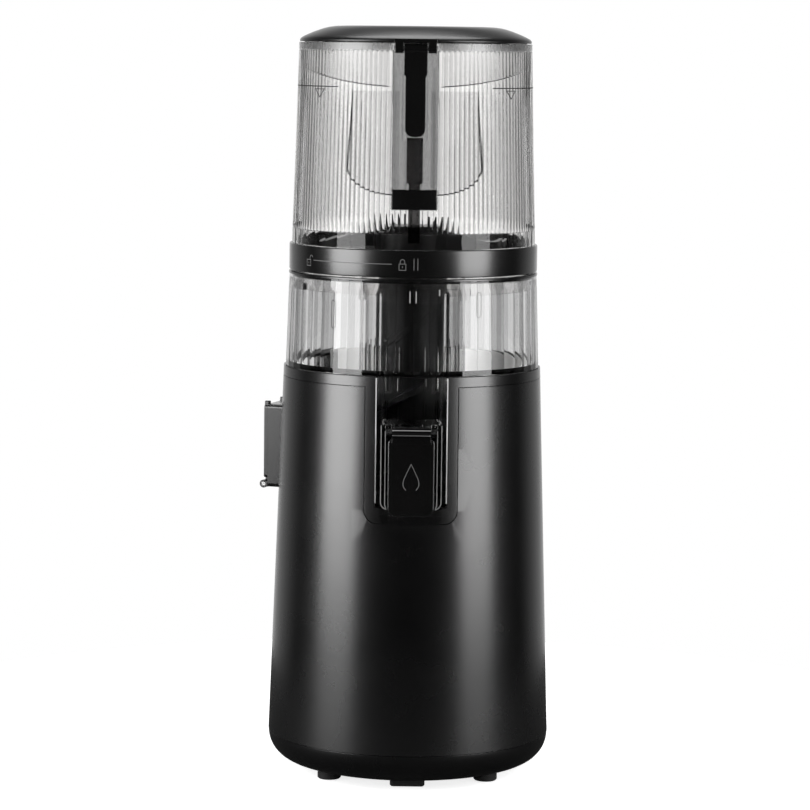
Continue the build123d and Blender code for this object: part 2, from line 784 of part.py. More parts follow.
with BuildPart() as circuit_board:
    with BuildSketch(Plane.XY.offset(board_base_z)):
        with Locations((board_x, 0)):
            Rectangle(board_thickness, 2 * board_half)
    extrude(amount=board_height)
    with BuildSketch(Plane.YZ.offset(board_x + board_thickness / 2)):
        with Locations((-board_half / 2, board_base_z + 0.65 * board_height)):
            Rectangle(0.6 * board_half, 0.25 * board_height)
        with Locations((board_half / 2, board_base_z + 0.6 * board_height)):
            Circle(capacitor_r)
        with Locations((board_half / 3, board_base_z + 0.25 * board_height)):
            Rectangle(0.8 * board_half, 0.15 * board_height)
    extrude(amount=part_depth)

with BuildPart() as board_holder:
    with BuildSketch(Plane.XY.offset(foot_height + cover_wall)):
        for end in (-1, 1):
            with Locations((board_x, end * board_half)):
                Rectangle(7, 6)
    extrude(amount=board_base_z - foot_height - cover_wall + board_guide)
    with BuildSketch(Plane.XY.offset(board_base_z)):
        with Locations((board_x, 0)):
            Rectangle(board_thickness, 2 * board_half)
    extrude(amount=board_height, mode=Mode.SUBTRACT)

# ============================================================== juicing bowl
strainer_r = 32.5
strainer_wall = 1.5
strainer_top_z = bowl_top_z - 13.6
sieve_pitch = 34.0
sieve_height = 28.0
sieve_width = 1.6
sieve_count = 24
neck_r = strainer_r + 1.5
neck_wall = 2.0
screw_gap = 0.5
screw_journal_r = 11.0
seal_ring_wall = 2.5
locating_height = 6.0

juice_spout_half = 19.2
juice_spout_reach = 104.0  # front face of the spout, from the axis
juice_spout_base_z = juice_slot_base_z + 1.2
juice_spout_height = 53.8
juice_spout_top_z = juice_spout_base_z + juice_spout_height
juice_lip_drop = 9.2
juice_lip_base_z = juice_spout_base_z - juice_lip_drop
juice_lip_reach = 92.5
juice_lip_corner = 7.0
juice_mouth_half = 10.5
juice_mouth_height = 32.0
juice_mouth_base_z = juice_spout_base_z + 5.8
juice_mouth_top_z = juice_mouth_base_z + juice_mouth_height
spout_wall = 2.4

pulp_spout_half = 17.0
pulp_spout_reach = 93.0
pulp_spout_base_z = pulp_slot_base_z + 2.5
pulp_spout_height = 54.0
pulp_spout_top_z = pulp_spout_base_z + pulp_spout_height
pulp_duct_half = 12.0
pulp_duct_wall = 2.0
pulp_duct_height = 23.0
pulp_duct_top_z = bowl_floor_z + pulp_duct_height

arch_height = 6.0
facet_draft_angle = degrees(atan2(bowl_draft, bowl_height))
facet_corner = 1 / cos(pi / facet_count)


def spout_passage(half_width):
    """Section of the juice's way from the bowl into its spout."""
    with Locations((0, juice_spout_base_z + spout_wall)):
        Rectangle(2 * half_width, juice_spout_height - 2 * spout_wall, align=(Align.CENTER, Align.MIN))
    fillet(vertices(), 1.5)


with BuildPart() as chamber:
    # facets above the body, each fading out in an arch below the rim
    with BuildSketch(Plane.XY.offset(bowl_seat_z)):
        RegularPolygon(bowl_base_r, facet_count, major_radius=False)
    extrude(amount=bowl_height, taper=facet_draft_angle)
    arch_base_z = bowl_top_z - arch_height - 2
    arch_base_r = (bowl_base_r - bowl_draft * (arch_base_z - bowl_seat_z) / bowl_height) * facet_corner
    with BuildSketch(Plane.XZ):
        turned_profile(
            (0, bowl_seat_z),
            (bowl_base_r * facet_corner + 0.1, bowl_seat_z),
            (arch_base_r, arch_base_z),
            (bowl_top_r, bowl_top_z - 2),
            (bowl_top_r, bowl_top_z),
            (0, bowl_top_z),
        )
    revolve(axis=Axis.Z, mode=Mode.INTERSECT)
    with BuildSketch(Plane.XY.offset(bowl_base_z)):
        Circle(bowl_low_r)
    extrude(amount=bowl_seat_z - bowl_base_z)
    # inside
    with BuildSketch(Plane.XZ):
        turned_profile(
            (0, bowl_floor_z),
            (bowl_inner_r, bowl_floor_z),
            (bowl_inner_r, bowl_seat_z - 2),
            (bowl_bore_r, bowl_seat_z + 3),
            (bowl_bore_r, bowl_top_z + 1),
            (0, bowl_top_z + 1),
        )
    revolve(axis=Axis.Z, mode=Mode.SUBTRACT)
    # windows for the juice and for the pulp, and the hole for the screw's foot
    with BuildSketch(front):
        spout_passage(juice_spout_half - spout_wall)
    extrude(amount=bowl_bore_r + 2 * bowl_wall, mode=Mode.SUBTRACT)
    with BuildSketch(left_rear):
        with Locations((0, bowl_floor_z)):
            Rectangle(2 * pulp_duct_half, pulp_duct_height, align=(Align.CENTER, Align.MIN))
    extrude(amount=bowl_low_r + bowl_wall, mode=Mode.SUBTRACT)
    with BuildSketch(Plane.XY.offset(bowl_base_z)):
        Circle(screw_journal_r + seal_ring_wall)
    extrude(amount=bowl_floor, mode=Mode.SUBTRACT)

with BuildPart() as juice_spout:
    # square tube off the bowl's wall, with a drooping frame at its front
    with BuildSketch(front):
        with Locations((0, juice_spout_base_z)):
            Rectangle(2 * juice_spout_half, juice_spout_height, align=(Align.CENTER, Align.MIN))
        fillet(vertices(), 3)
    extrude(amount=juice_lip_reach + 1)
    with BuildSketch(front.offset(juice_lip_reach)):
        with Locations((0, juice_lip_base_z)):
            Rectangle(
                2 * juice_spout_half,
                juice_spout_top_z - juice_lip_base_z,
                align=(Align.CENTER, Align.MIN),
            )
        fillet(vertices().group_by(Axis.Y)[0], juice_lip_corner)
        fillet(vertices().group_by(Axis.Y)[-1], 3)
    extrude(amount=juice_spout_reach - juice_lip_reach)
    with BuildSketch(front):
        spout_passage(juice_spout_half - spout_wall)
    extrude(amount=juice_spout_reach - spout_wall, mode=Mode.SUBTRACT)
    with BuildSketch(front):
        with Locations((0, juice_mouth_base_z)):
            Rectangle(2 * juice_mouth_half, juice_mouth_height, align=(Align.CENTER, Align.MIN))
        fillet(vertices(), 4)
    extrude(amount=juice_spout_reach + 1, mode=Mode.SUBTRACT)
    with BuildSketch(Plane.XY.offset(bowl_base_z)):
        Circle(bowl_low_r)
    extrude(amount=bowl_seat_z - bowl_base_z, mode=Mode.SUBTRACT)

with BuildPart() as strainer_seat:
    # ring that centres the strainer, and the pulp duct from it to the wall
    with BuildSketch(Plane.XY.offset(bowl_floor_z)):
        Circle(strainer_r + 2.5)
    extrude(amount=locating_height)
    with BuildSketch(left_rear):
        with Locations((0, bowl_floor_z)):
            Rectangle(
                2 * (pulp_duct_half + pulp_duct_wall),
                pulp_duct_height + pulp_duct_wall,
                align=(Align.CENTER, Align.MIN),
            )
    extrude(amount=bowl_low_r)
    with BuildSketch(Plane.XY.offset(bowl_floor_z)):
        Circle(bowl_inner_r)
    extrude(amount=bowl_seat_z - bowl_floor_z, mode=Mode.INTERSECT)
    with BuildSketch(left_rear):
        with Locations((0, bowl_floor_z)):
            Rectangle(2 * pulp_duct_half, pulp_duct_height, align=(Align.CENTER, Align.MIN))
    extrude(amount=bowl_low_r, mode=Mode.SUBTRACT)
    with BuildSketch(Plane.XY.offset(bowl_floor_z)):
        Circle(strainer_r + slip_gap)
    extrude(amount=pulp_duct_height + 2 * pulp_duct_wall, mode=Mode.SUBTRACT)

hinge_pin_r = 1.3
juice_pin_y = -juice_spout_reach - 4.0
juice_pin_z = juice_spout_top_z - 3.8
juice_barrel_r = 3.0
juice_barrel_half = 12.0
ear_width = 3.4
cap_half = 14.35
cap_base_z = juice_lip_base_z + 6.7
cap_top_z = juice_pin_z - 5.6
cap_thickness = 3.6
cap_gap = 0.3

with BuildPart() as spout_ears:
    with BuildSketch(side):
        with Locations((juice_pin_y, juice_pin_z)):
            Circle(juice_barrel_r + 0.4)
        with Locations(((juice_pin_y - juice_spout_reach) / 2, juice_pin_z)):
            Rectangle(-juice_pin_y - juice_spout_reach, 2 * juice_barrel_r + 0.8)
        with Locations((juice_pin_y, juice_pin_z)):
            Circle(hinge_pin_r, mode=Mode.SUBTRACT)
    extrude(amount=juice_barrel_half + slip_gap + ear_width, both=True)
    with BuildSketch(side):
        with Locations((juice_pin_y, juice_pin_z)):
            Rectangle(20, 20)
    extrude(amount=juice_barrel_half + slip_gap, both=True, mode=Mode.SUBTRACT)

with BuildPart() as juice_cap_pin:
    with BuildSketch(side):
        with Locations((juice_pin_y, juice_pin_z)):
            Circle(hinge_pin_r)
    extrude(amount=juice_barrel_half + slip_gap + ear_width, both=True)

with BuildPart() as juice_cap:
    with BuildSketch(front.offset(juice_spout_reach + cap_gap)):
        with Locations((0, cap_base_z)):
            Rectangle(2 * cap_half, cap_top_z - cap_base_z, align=(Align.CENTER, Align.MIN))
        fillet(vertices().group_by(Axis.Y)[0], 5)
        fillet(vertices().group_by(Axis.Y)[-1], 2)
    extrude(amount=cap_thickness)
    fillet(juice_cap.faces().sort_by(Axis.Y)[0].edges(), 0.9)
    with BuildSketch(side):
        with Locations((juice_pin_y, juice_pin_z)):
            Circle(juice_barrel_r)
        with Locations((juice_pin_y + juice_barrel_r / 2, (juice_pin_z + cap_top_z) / 2 - 1)):
            Rectangle(juice_barrel_r, juice_pin_z - cap_top_z + 2)
    extrude(amount=juice_barrel_half, both=True)
    with BuildSketch(side):
        with Locations((juice_pin_y, juice_pin_z)):
            Circle(hinge_pin_r + running_gap)
    extrude(amount=juice_barrel_half, both=True, mode=Mode.SUBTRACT)

with BuildPart() as juice_cap_seal:
    with BuildSketch(front.offset(juice_spout_reach + cap_gap)):
        with Locations((0, juice_mouth_base_z + swing_gap)):
            Rectangle(
                2 * (juice_mouth_half - swing_gap),
                juice_mouth_top_z - juice_mouth_base_z - 2 * swing_gap,
                align=(Align.CENTER, Align.MIN),
            )
        fillet(vertices(), 3.5)
    extrude(amount=-2.2)

with BuildPart() as pulp_spout:
    with BuildSketch(left_rear):
        with Locations((0, pulp_spout_base_z)):
            Rectangle(
                2 * pulp_spout_half,
                pulp_spout_top_z - pulp_spout_base_z,
                align=(Align.CENTER, Align.MIN),
            )
        fillet(vertices(), 2.5)
    extrude(amount=pulp_spout_reach)
    with BuildSketch(left_rear):
        with Locations((0, bowl_floor_z)):
            Rectangle(2 * pulp_duct_half, pulp_duct_top_z - bowl_floor_z, align=(Align.CENTER, Align.MIN))
    extrude(amount=pulp_spout_reach + 1, mode=Mode.SUBTRACT)
    with BuildSketch(left_rear):
        with Locations((0, pulp_duct_top_z + spout_wall)):
            Rectangle(
                2 * (pulp_spout_half - spout_wall),
                pulp_spout_top_z - pulp_duct_top_z - 2 * spout_wall,
                align=(Align.CENTER, Align.MIN),
            )
    extrude(amount=pulp_spout_reach - spout_wall, mode=Mode.SUBTRACT)
    with BuildSketch(Plane.XY.offset(bowl_base_z)):
        Circle(bowl_low_r)
    extrude(amount=bowl_seat_z - bowl_base_z, mode=Mode.SUBTRACT)

pulp_pin_reach = pulp_spout_reach + 3.2
pulp_pin_drop = 1.8
pulp_pin_z = pulp_spout_base_z + pulp_pin_drop
pulp_barrel_r = 2.6
pulp_barrel_half = 12.0
pulp_cap_thickness = 2.6
pulp_side = Plane(
    origin=left_rear.z_dir * pulp_pin_reach + Vector(0, 0, pulp_pin_z),
    x_dir=left_rear.z_dir,
    z_dir=-left_rear.x_dir,
)

with BuildPart() as pulp_ears:
    with BuildSketch(pulp_side):
        Circle(pulp_barrel_r)
        with Locations(((pulp_spout_reach - pulp_pin_reach) / 2, 0)):
            Rectangle(pulp_pin_reach - pulp_spout_reach, 2 * pulp_pin_drop)
        Circle(hinge_pin_r, mode=Mode.SUBTRACT)
    extrude(amount=pulp_barrel_half + slip_gap + ear_width, both=True)
    with BuildSketch(pulp_side):
        Rectangle(20, 20)
    extrude(amount=pulp_barrel_half + slip_gap, both=True, mode=Mode.SUBTRACT)

with BuildPart() as pulp_cap_pin:
    with BuildSketch(pulp_side):
        Circle(hinge_pin_r)
    extrude(amount=pulp_barrel_half + slip_gap + ear_width, both=True)

with BuildPart() as pulp_cap:
    with BuildSketch(left_rear.offset(pulp_spout_reach + cap_gap)):
        with Locations((0, pulp_pin_z + pulp_barrel_r + 1.5)):
            Rectangle(
                2 * (pulp_spout_half - 1),
                pulp_spout_top_z - pulp_pin_z - pulp_barrel_r - 2,
                align=(Align.CENTER, Align.MIN),
            )
        fillet(vertices(), 2)
    extrude(amount=pulp_cap_thickness)
    with BuildSketch(pulp_side):
        Circle(pulp_barrel_r)
        with Locations((-0.35 * pulp_barrel_r, 1.1 * pulp_barrel_r)):
            Rectangle(0.75 * pulp_barrel_r, 2.2 * pulp_barrel_r)
    extrude(amount=pulp_barrel_half, both=True)
    with BuildSketch(pulp_side):
        Circle(hinge_pin_r + running_gap)
    extrude(amount=pulp_barrel_half, both=True, mode=Mode.SUBTRACT)
    # two small lugs at the top corners to pull the flap by
    with BuildSketch(left_rear.offset(pulp_spout_reach + cap_gap)):
        for end in (-1, 1):
            with Locations((end * (pulp_spout_half - 4), pulp_spout_top_z - 1)):
                RectangleRounded(4, 6, 1)
    extrude(amount=pulp_cap_thickness)

with BuildPart() as floor_seal:
    with BuildSketch(Plane.XY.offset(bowl_base_z - 0.6)):
        Circle(screw_journal_r + seal_ring_wall)
        Circle(screw_journal_r + running_gap, mode=Mode.SUBTRACT)
    extrude(amount=bowl_floor + 0.6)

lug_height = 4.0
lug_width = 20.0
lug_gap = 2.0
lug_start = 20.0
lug_r = bowl_bore_r - slip_gap
hopper_twist = 50.0
spigot_r = lug_r - 2.2
rim_lip_r = spigot_r + slip_gap
spigot_wall = 2.4
spigot_base_z = bowl_top_z - slip_gap - lug_height

with BuildPart() as chamber_rim:
    with BuildSketch(Plane.XY.offset(bowl_top_z)):
        Circle(bowl_top_r)
        Circle(rim_lip_r, mode=Mode.SUBTRACT)
        with PolarLocations(rim_lip_r, 4, start_angle=lug_start + hopper_twist):
            Rectangle(2 * (bowl_bore_r - rim_lip_r), lug_width + 2 * lug_gap, mode=Mode.SUBTRACT)
    extrude(amount=bowl_rim_height)
    fillet(chamber_rim.edges().filter_by(GeomType.CIRCLE).group_by(SortBy.RADIUS)[-1], 0.5)

with BuildPart() as strainer:
    with BuildSketch(Plane.XY.offset(bowl_floor_z + 0.3)):
        Circle(strainer_r)
        Circle(strainer_r - strainer_wall, mode=Mode.SUBTRACT)
    extrude(amount=strainer_top_z - bowl_floor_z - 0.3)
    with BuildSketch(left_rear):
        with Locations((0, bowl_floor_z + 2)):
            Rectangle(2 * pulp_duct_half - 4, 16, align=(Align.CENTER, Align.MIN))
    extrude(amount=2 * strainer_r, mode=Mode.SUBTRACT)
    for row in (1, 2):
        with BuildSketch(Plane.XY.offset(bowl_floor_z - 2 + row * sieve_pitch)):
            with PolarLocations(strainer_r, sieve_count):
                Rectangle(4 * strainer_wall, sieve_width)
        extrude(amount=sieve_height, mode=Mode.SUBTRACT)

# ------------------------------------------------------------------ juicing screw
screw_base_r = 27.0
screw_top_r = 22.0
flight_r = strainer_r - strainer_wall - screw_gap
flight_width = 9.0
flight_root = 2.0  # depth of a flight's root inside the core
flight_twist = 600.0
screw_foot_height = 4.0
screw_cone_height = 70.0
screw_nose = 6.0
screw_bottom_z = well_floor_z + drip_boss_height + 2.0
screw_foot_z = bowl_floor_z + 1.2
flight_base_z = screw_foot_z + 2.0
flight_top_z = bowl_rim_z - 2.0
screw_top_z = ring_top_z + 11.0

with BuildPart() as screw:
    with BuildSketch(Plane.XZ):
        turned_profile(
            (0, screw_bottom_z),
            (screw_journal_r, screw_bottom_z),
            (screw_journal_r, screw_foot_z),
            (screw_base_r, screw_foot_z),
            (screw_base_r, screw_foot_z + screw_foot_height),
            (screw_top_r, screw_foot_z + screw_cone_height),
            (screw_top_r, screw_top_z - screw_nose),
            (screw_top_r - screw_nose, screw_top_z),
            (0, screw_top_z),
        )
    revolve(axis=Axis.Z)
    with BuildSketch(Plane.XY.offset(screw_bottom_z)):
        RegularPolygon(hex_flats / 2 + hex_gap, 6, major_radius=False)
    extrude(amount=socket_depth, mode=Mode.SUBTRACT)
    # two flights, each a lobe of the section twisted up the core
    with BuildSketch(Plane.XY.offset(flight_base_z), mode=Mode.PRIVATE) as flight_section:
        with PolarLocations((screw_top_r - flight_root + flight_r) / 2, 2):
            Rectangle(flight_r - screw_top_r + 3 * flight_root, flight_width)
        Circle(flight_r, mode=Mode.INTERSECT)
    for lobe in flight_section.sketch.faces():
        add(
            Solid.extrude_linear_with_rotation(
                lobe,
                (0, 0, flight_base_z),
                (0, 0, flight_top_z - flight_base_z),
                flight_twist,
            )
        )

blade_base_z = ring_top_z - 6.0
blade_height = 13.0
blade_reach = 63.0
blade_hub_wall = 3.0


def blade_point(angle, share):
    """Point at an angle in degrees, at a share of the blade's reach from the axis."""
    return blade_reach * share * cos(radians(angle)), blade_reach * share * sin(radians(angle))


with BuildPart() as screw_blade:
    with BuildSketch(Plane.XY.offset(blade_base_z)):
        Circle(screw_top_r + blade_hub_wall)
        for turn in (0, 180):
            with BuildLine(Plane.XY.rotated((0, 0, turn))):
                outer_arc = ThreePointArc(blade_point(-65, 0.36), blade_point(-23, 0.81), blade_point(11, 1))
                tip = Line(outer_arc @ 1, blade_point(17, 0.94))
                inner_arc = ThreePointArc(tip @ 1, blade_point(-10, 0.66), blade_point(-34, 0.34))
                Line(inner_arc @ 1, outer_arc @ 0)
            make_face()
        Circle(screw_top_r, mode=Mode.SUBTRACT)
    extrude(amount=blade_height)

# ===================================================================== hopper
hopper_floor_drop = 7.5
hopper_floor_z = ring_base_z + 1.0
neck_base_z = strainer_top_z + slip_gap
funnel_mouth_r = hopper_skirt_r - hopper_wall - 0.5
channel_half = 14.0
tongue_back_y = 1.3 - hopper_top_r
channel_back_y = tongue_back_y + 5.8
block_base_z = reed_base_z + 15.3
block_height = 12.2
block_top_z = block_base_z + block_height


def reeded_outline(radius):
    """Round outline with shallow reeds, every second corner set in."""
    points = []
    for corner in range(2 * reed_count):
        corner_r = radius - reed_depth * (corner % 2)
        angle = pi * corner / reed_count - pi / 2
        points.append((corner_r * cos(angle), corner_r * sin(angle)))
    Polygon(*points, align=None)


with BuildPart() as hopper:
    with BuildSketch(Plane.XY.offset(ring_top_z)):
        RegularPolygon(hopper_base_r + facet_step, facet_count, major_radius=False)
    extrude(amount=facet_band_height)
    with BuildSketch(Plane.XY.offset(reed_base_z)):
        reeded_outline(hopper_base_r)
    with BuildSketch(Plane.XY.offset(reed_top_z)):
        reeded_outline(hopper_top_r)
    loft(ruled=True)
    with BuildSketch(Plane.XZ):
        turned_profile(
            (0, ring_top_z),
            (funnel_mouth_r, ring_top_z),
            (hopper_radius(reed_base_z) - hopper_wall, reed_base_z),
            (hopper_radius(reed_top_z) - hopper_wall, reed_top_z),
            (0, reed_top_z),
        )
    revolve(axis=Axis.Z, mode=Mode.SUBTRACT)
    # window for the front channel
    with BuildSketch(front):
        with Locations((0, block_base_z - seam)):
            Rectangle(2 * channel_half, reed_top_z - block_base_z + 1, align=(Align.CENTER, Align.MIN))
    extrude(amount=2 * hopper_base_r, mode=Mode.SUBTRACT)

with BuildPart() as hopper_funnel:
    # floor of the hopper, with the neck over the screw and the bayonet's spigot
    with BuildSketch(Plane.XZ):
        turned_profile(
            (neck_r - neck_wall, neck_base_z),
            (neck_r, neck_base_z),
            (neck_r, hopper_floor_z - 2),
            (spigot_r - spigot_wall, hopper_floor_z + hopper_floor_drop - 3),
            (spigot_r - spigot_wall, spigot_base_z),
            (spigot_r, spigot_base_z),
            (spigot_r, ring_base_z),
            (hopper_skirt_r - seam, ring_base_z),
            (hopper_skirt_r - seam, ring_top_z),
            (funnel_mouth_r, ring_top_z),
            (funnel_mouth_r, hopper_floor_z + hopper_floor_drop + 3),
            (funnel_mouth_r - 4.5, hopper_floor_z + hopper_floor_drop),
            (neck_r, hopper_floor_z + 1),
            (neck_r - neck_wall, hopper_floor_z),
        )
    revolve(axis=Axis.Z)
    with BuildSketch(Plane.XY.offset(spigot_base_z)):
        with PolarLocations(spigot_r, 4, start_angle=lug_start):
            Rectangle(2 * (lug_r - spigot_r), lug_width)
        Circle(lug_r, mode=Mode.INTERSECT)
        Circle(spigot_r - 1, mode=Mode.SUBTRACT)
    extrude(amount=lug_height)

with BuildPart() as hopper_ring:
    with BuildSketch(Plane.XY.offset(ring_base_z)):
        Circle(ring_r)
        Circle(hopper_skirt_r, mode=Mode.SUBTRACT)
    extrude(amount=ring_height)
    fillet(hopper_ring.edges().filter_by(GeomType.CIRCLE).group_by(SortBy.RADIUS)[-1], 0.5)

lid_hinge_y = hopper_top_r + 4.4
lid_hinge_z = hopper_top_z - 0.5
lid_barrel_r = 3.6
lid_barrel_half = 7.6
lid_pin_r = 1.6
knuckle_width = 6.0
knuckle_start = lid_barrel_half + slip_gap

with BuildPart() as hopper_rim:
    with BuildSketch(Plane.XY.offset(reed_top_z)):
        Circle(hopper_top_r)
        Circle(hopper_top_r - hopper_wall - 0.2, mode=Mode.SUBTRACT)
        with Locations((0, -hopper_top_r)):
            Rectangle(2 * channel_half, 30, mode=Mode.SUBTRACT)
    extrude(amount=hopper_rim_height)
    # knuckles of the lid hinge
    with BuildSketch(side):
        with Locations((lid_hinge_y, lid_hinge_z)):
            Circle(lid_barrel_r)
        with Locations((lid_hinge_y - 3, (reed_top_z + hopper_top_z) / 2)):
            Rectangle(6, hopper_rim_height)
    extrude(amount=knuckle_start + knuckle_width, both=True)
    with BuildSketch(side):
        with Locations((lid_hinge_y + 1, lid_hinge_z)):
            Rectangle(2 * (lid_hinge_y - hopper_top_r) + 1, 16)
    extrude(amount=knuckle_start, both=True, mode=Mode.SUBTRACT)
    with BuildSketch(side):
        with Locations((lid_hinge_y, lid_hinge_z)):
            Circle(lid_pin_r)
    extrude(amount=knuckle_start + knuckle_width, both=True, mode=Mode.SUBTRACT)

with BuildPart() as lid_hinge_pin:
    with BuildSketch(side):
        with Locations((lid_hinge_y, lid_hinge_z)):
            Circle(lid_pin_r)
    extrude(amount=knuckle_start + knuckle_width, both=True)

# ------------------------------------------- front channel, guard and interlock
tongue_thickness = 4.4
tongue_base_z = hopper_top_z - 57.4
tongue_half = 6.25
tongue_neck_half = 7.15
tongue_neck_z = hopper_top_z - 20.1
latch_groove_half = 8.2
channel_floor_y = tongue_back_y + swing_gap
rail_top_z = hopper_top_z - 15.0
channel_top_z = hopper_top_z - 1.4
outside_y = -hopper_base_r - 4.0  # clear in front of the hopper
rod_half = 5.0
rod_stem_half = 3.5
rod_gap = 0.3
stem_gap = 0.2
rod_stem_front_y = channel_floor_y - 0.4
rod_back_y = rod_stem_front_y + 2.8
rod_front_y = tongue_back_y - 3.2
rod_stroke = 3.0
rod_top_z = tongue_base_z - 0.4
rod_head_base_z = block_top_z + rod_stroke + 1.0
rod_bottom_z = ring_top_z + 4.0


# the hopper's outside as one solid, to trim the front mouldings flush
with BuildPart() as hopper_form:
    with BuildSketch(Plane.XZ):
        turned_profile(
            (0, ring_top_z),
            (hopper_radius(ring_top_z) - 0.1, ring_top_z),
            (hopper_radius(hopper_top_z) - 0.1, hopper_top_z),
            (0, hopper_top_z),
        )
    revolve(axis=Axis.Z)


def front_block(half_width, near_y, far_y, low_z, high_z, mode=Mode.ADD):
    """Upright block on the front centre line between two distances from the axis."""
    with Locations((0, near_y, low_z)):
        Box(
            2 * half_width,
            near_y - far_y,
            high_z - low_z,
            align=(Align.CENTER, Align.MAX, Align.MIN),
            mode=mode,
        )


with BuildPart() as front_channel:
    front_block(channel_half - seam, channel_back_y, outside_y, block_top_z, channel_top_z)
    add(hopper_form.part, mode=Mode.INTERSECT)
    # deep at the ears, then a groove for the tongue, then a deeper one for the rod
    front_block(channel_half, channel_floor_y, outside_y, rail_top_z, lid_base_z, Mode.SUBTRACT)
    front_block(latch_groove_half, channel_floor_y, outside_y, tongue_base_z - 2, rail_top_z, Mode.SUBTRACT)
    front_block(
        rod_half + rod_gap, rod_back_y + rod_gap, outside_y, block_top_z, tongue_base_z, Mode.SUBTRACT
    )

with BuildPart() as interlock_housing:
    front_block(channel_half - seam, channel_back_y, outside_y, block_base_z, block_top_z)
    add(hopper_form.part, mode=Mode.INTERSECT)
    front_block(
        rod_stem_half + stem_gap,
        rod_back_y + stem_gap,
        rod_stem_front_y - stem_gap,
        block_base_z,
        block_top_z,
        Mode.SUBTRACT,
    )

with BuildPart() as interlock_rod:
    front_block(rod_half, rod_back_y, rod_front_y, rod_head_base_z, rod_top_z)
    front_block(rod_stem_half, rod_back_y, rod_stem_front_y, rod_bottom_z, rod_head_base_z)

guard_y = channel_back_y + 6.5
guard_thickness = 2.0
guard_drop = 25.2
guard_rise = 8.0
guard_shoulder = 34.0
guard_top_z = reed_top_z - guard_drop
guard_bottom_z = block_base_z + guard_rise
guard_tab_half = 15.0


def guard_half_width(z):
    """Half the chord of the hopper's inside at the guard, less a small gap."""
    inner = hopper_radius(z) - hopper_wall
    return sqrt(inner**2 - guard_y**2) - 0.4


with BuildPart() as guard_panel:
    with BuildSketch(front.offset(-guard_y - guard_thickness)):
        with BuildLine():
            shoulder_z = guard_bottom_z + guard_shoulder
            top_half = guard_half_width(guard_top_z)
            low_half = guard_half_width(shoulder_z)
            sides = Polyline((low_half, shoulder_z), (top_half, guard_top_z))
            Line(sides @ 1, (-top_half, guard_top_z))
            other = Polyline((-top_half, guard_top_z), (-low_half, shoulder_z))
            Spline(
                other @ 1,
                (-low_half * 0.55, guard_bottom_z + 5),
                (0, guard_bottom_z),
                (low_half * 0.55, guard_bottom_z + 5),
                sides @ 0,
            )
        make_face()
        with Locations((0, guard_top_z - 1)):
            Rectangle(2 * guard_tab_half, reed_top_z - guard_top_z, align=(Align.CENTER, Align.MIN))
    extrude(amount=guard_thickness)
    # spacers that stand the guard off the channel
    for end in (-1, 1):
        with BuildSketch(front.offset(-guard_y)):
            with Locations((end * (channel_half - 3), block_top_z)):
                Rectangle(3, guard_top_z - block_top_z, align=(Align.CENTER, Align.MIN))
        extrude(amount=guard_y - channel_back_y)

# ========================================================================= lid
skirt_depth = 27.9
skirt_top_r = hopper_top_r - hopper_wall - slip_gap
skirt_bottom_r = skirt_top_r - 3.0
skirt_wall = 2.0
skirt_slope = 0.228
skirt_notch_half = 16.0
skirt_base_z = lid_base_z - skirt_depth
lid_flat_r = lid_r - 18.7
latch_pin_y = tongue_back_y - 2.8
latch_pin_z = hopper_top_z - 3.4
latch_pin_r = 1.5
latch_barrel_r = 3.0
ear_half = 12.8
bracket_half = ear_half + 0.4
bracket_front_y = latch_pin_y - 2.4
bracket_back_y = channel_floor_y + 1.4
bracket_height = 2.4

with BuildPart() as lid:
    with BuildSketch(Plane.XZ):
        turned_profile(
            (0, lid_top_z),
            (lid_flat_r, lid_top_z),
            (lid_r, lid_crease_z),
            (lid_r, lid_base_z),
            (skirt_top_r - skirt_wall, lid_base_z),
            (skirt_top_r - skirt_wall, lid_crease_z - lid_wall / 2),
            (lid_flat_r, lid_top_z - lid_wall),
            (0, lid_top_z - lid_wall),
        )
    revolve(axis=Axis.Z)
    # notch in the front edge for the latch bracket
    front_block(
        bracket_half + seam,
        bracket_back_y + seam,
        outside_y,
        lid_base_z,
        lid_base_z + bracket_height,
        Mode.SUBTRACT,
    )
    # hinge barrel behind the rear edge
    with BuildSketch(side):
        with Locations((lid_hinge_y, lid_hinge_z)):
            Circle(lid_barrel_r)
        with Locations((lid_hinge_y - 3.5, lid_base_z + lid_edge_height / 2)):
            Rectangle(7, lid_edge_height)
    extrude(amount=lid_barrel_half, both=True)
    with BuildSketch(side):
        with Locations((lid_hinge_y, lid_hinge_z)):
            Circle(lid_pin_r + running_gap)
    extrude(amount=lid_barrel_half, both=True, mode=Mode.SUBTRACT)

with BuildPart() as lid_skirt:
    with BuildSketch(Plane.XZ):
        turned_profile(
            (skirt_top_r, lid_base_z),
            (skirt_bottom_r, skirt_base_z),
            (skirt_bottom_r - skirt_wall, skirt_base_z),
            (skirt_top_r - skirt_wall, lid_base_z),
        )
    revolve(axis=Axis.Z)
    # the skirt runs out towards the rear hinge
    rear_run = (skirt_depth - 1.5) / skirt_slope
    with BuildSketch(side):
        with BuildLine():
            Polyline(
                (-skirt_bottom_r - 9, skirt_base_z - 1),
                (-skirt_bottom_r, skirt_base_z),
                (-skirt_bottom_r + rear_run, lid_base_z - 1.5),
                (hopper_base_r, lid_base_z - 1.5),
                (hopper_base_r, skirt_base_z - 1),
                close=True,
            )
        make_face()
    extrude(amount=hopper_base_r, both=True, mode=Mode.SUBTRACT)
    front_block(skirt_notch_half, 0, -hopper_base_r, skirt_base_z - 1, lid_base_z - 1, Mode.SUBTRACT)

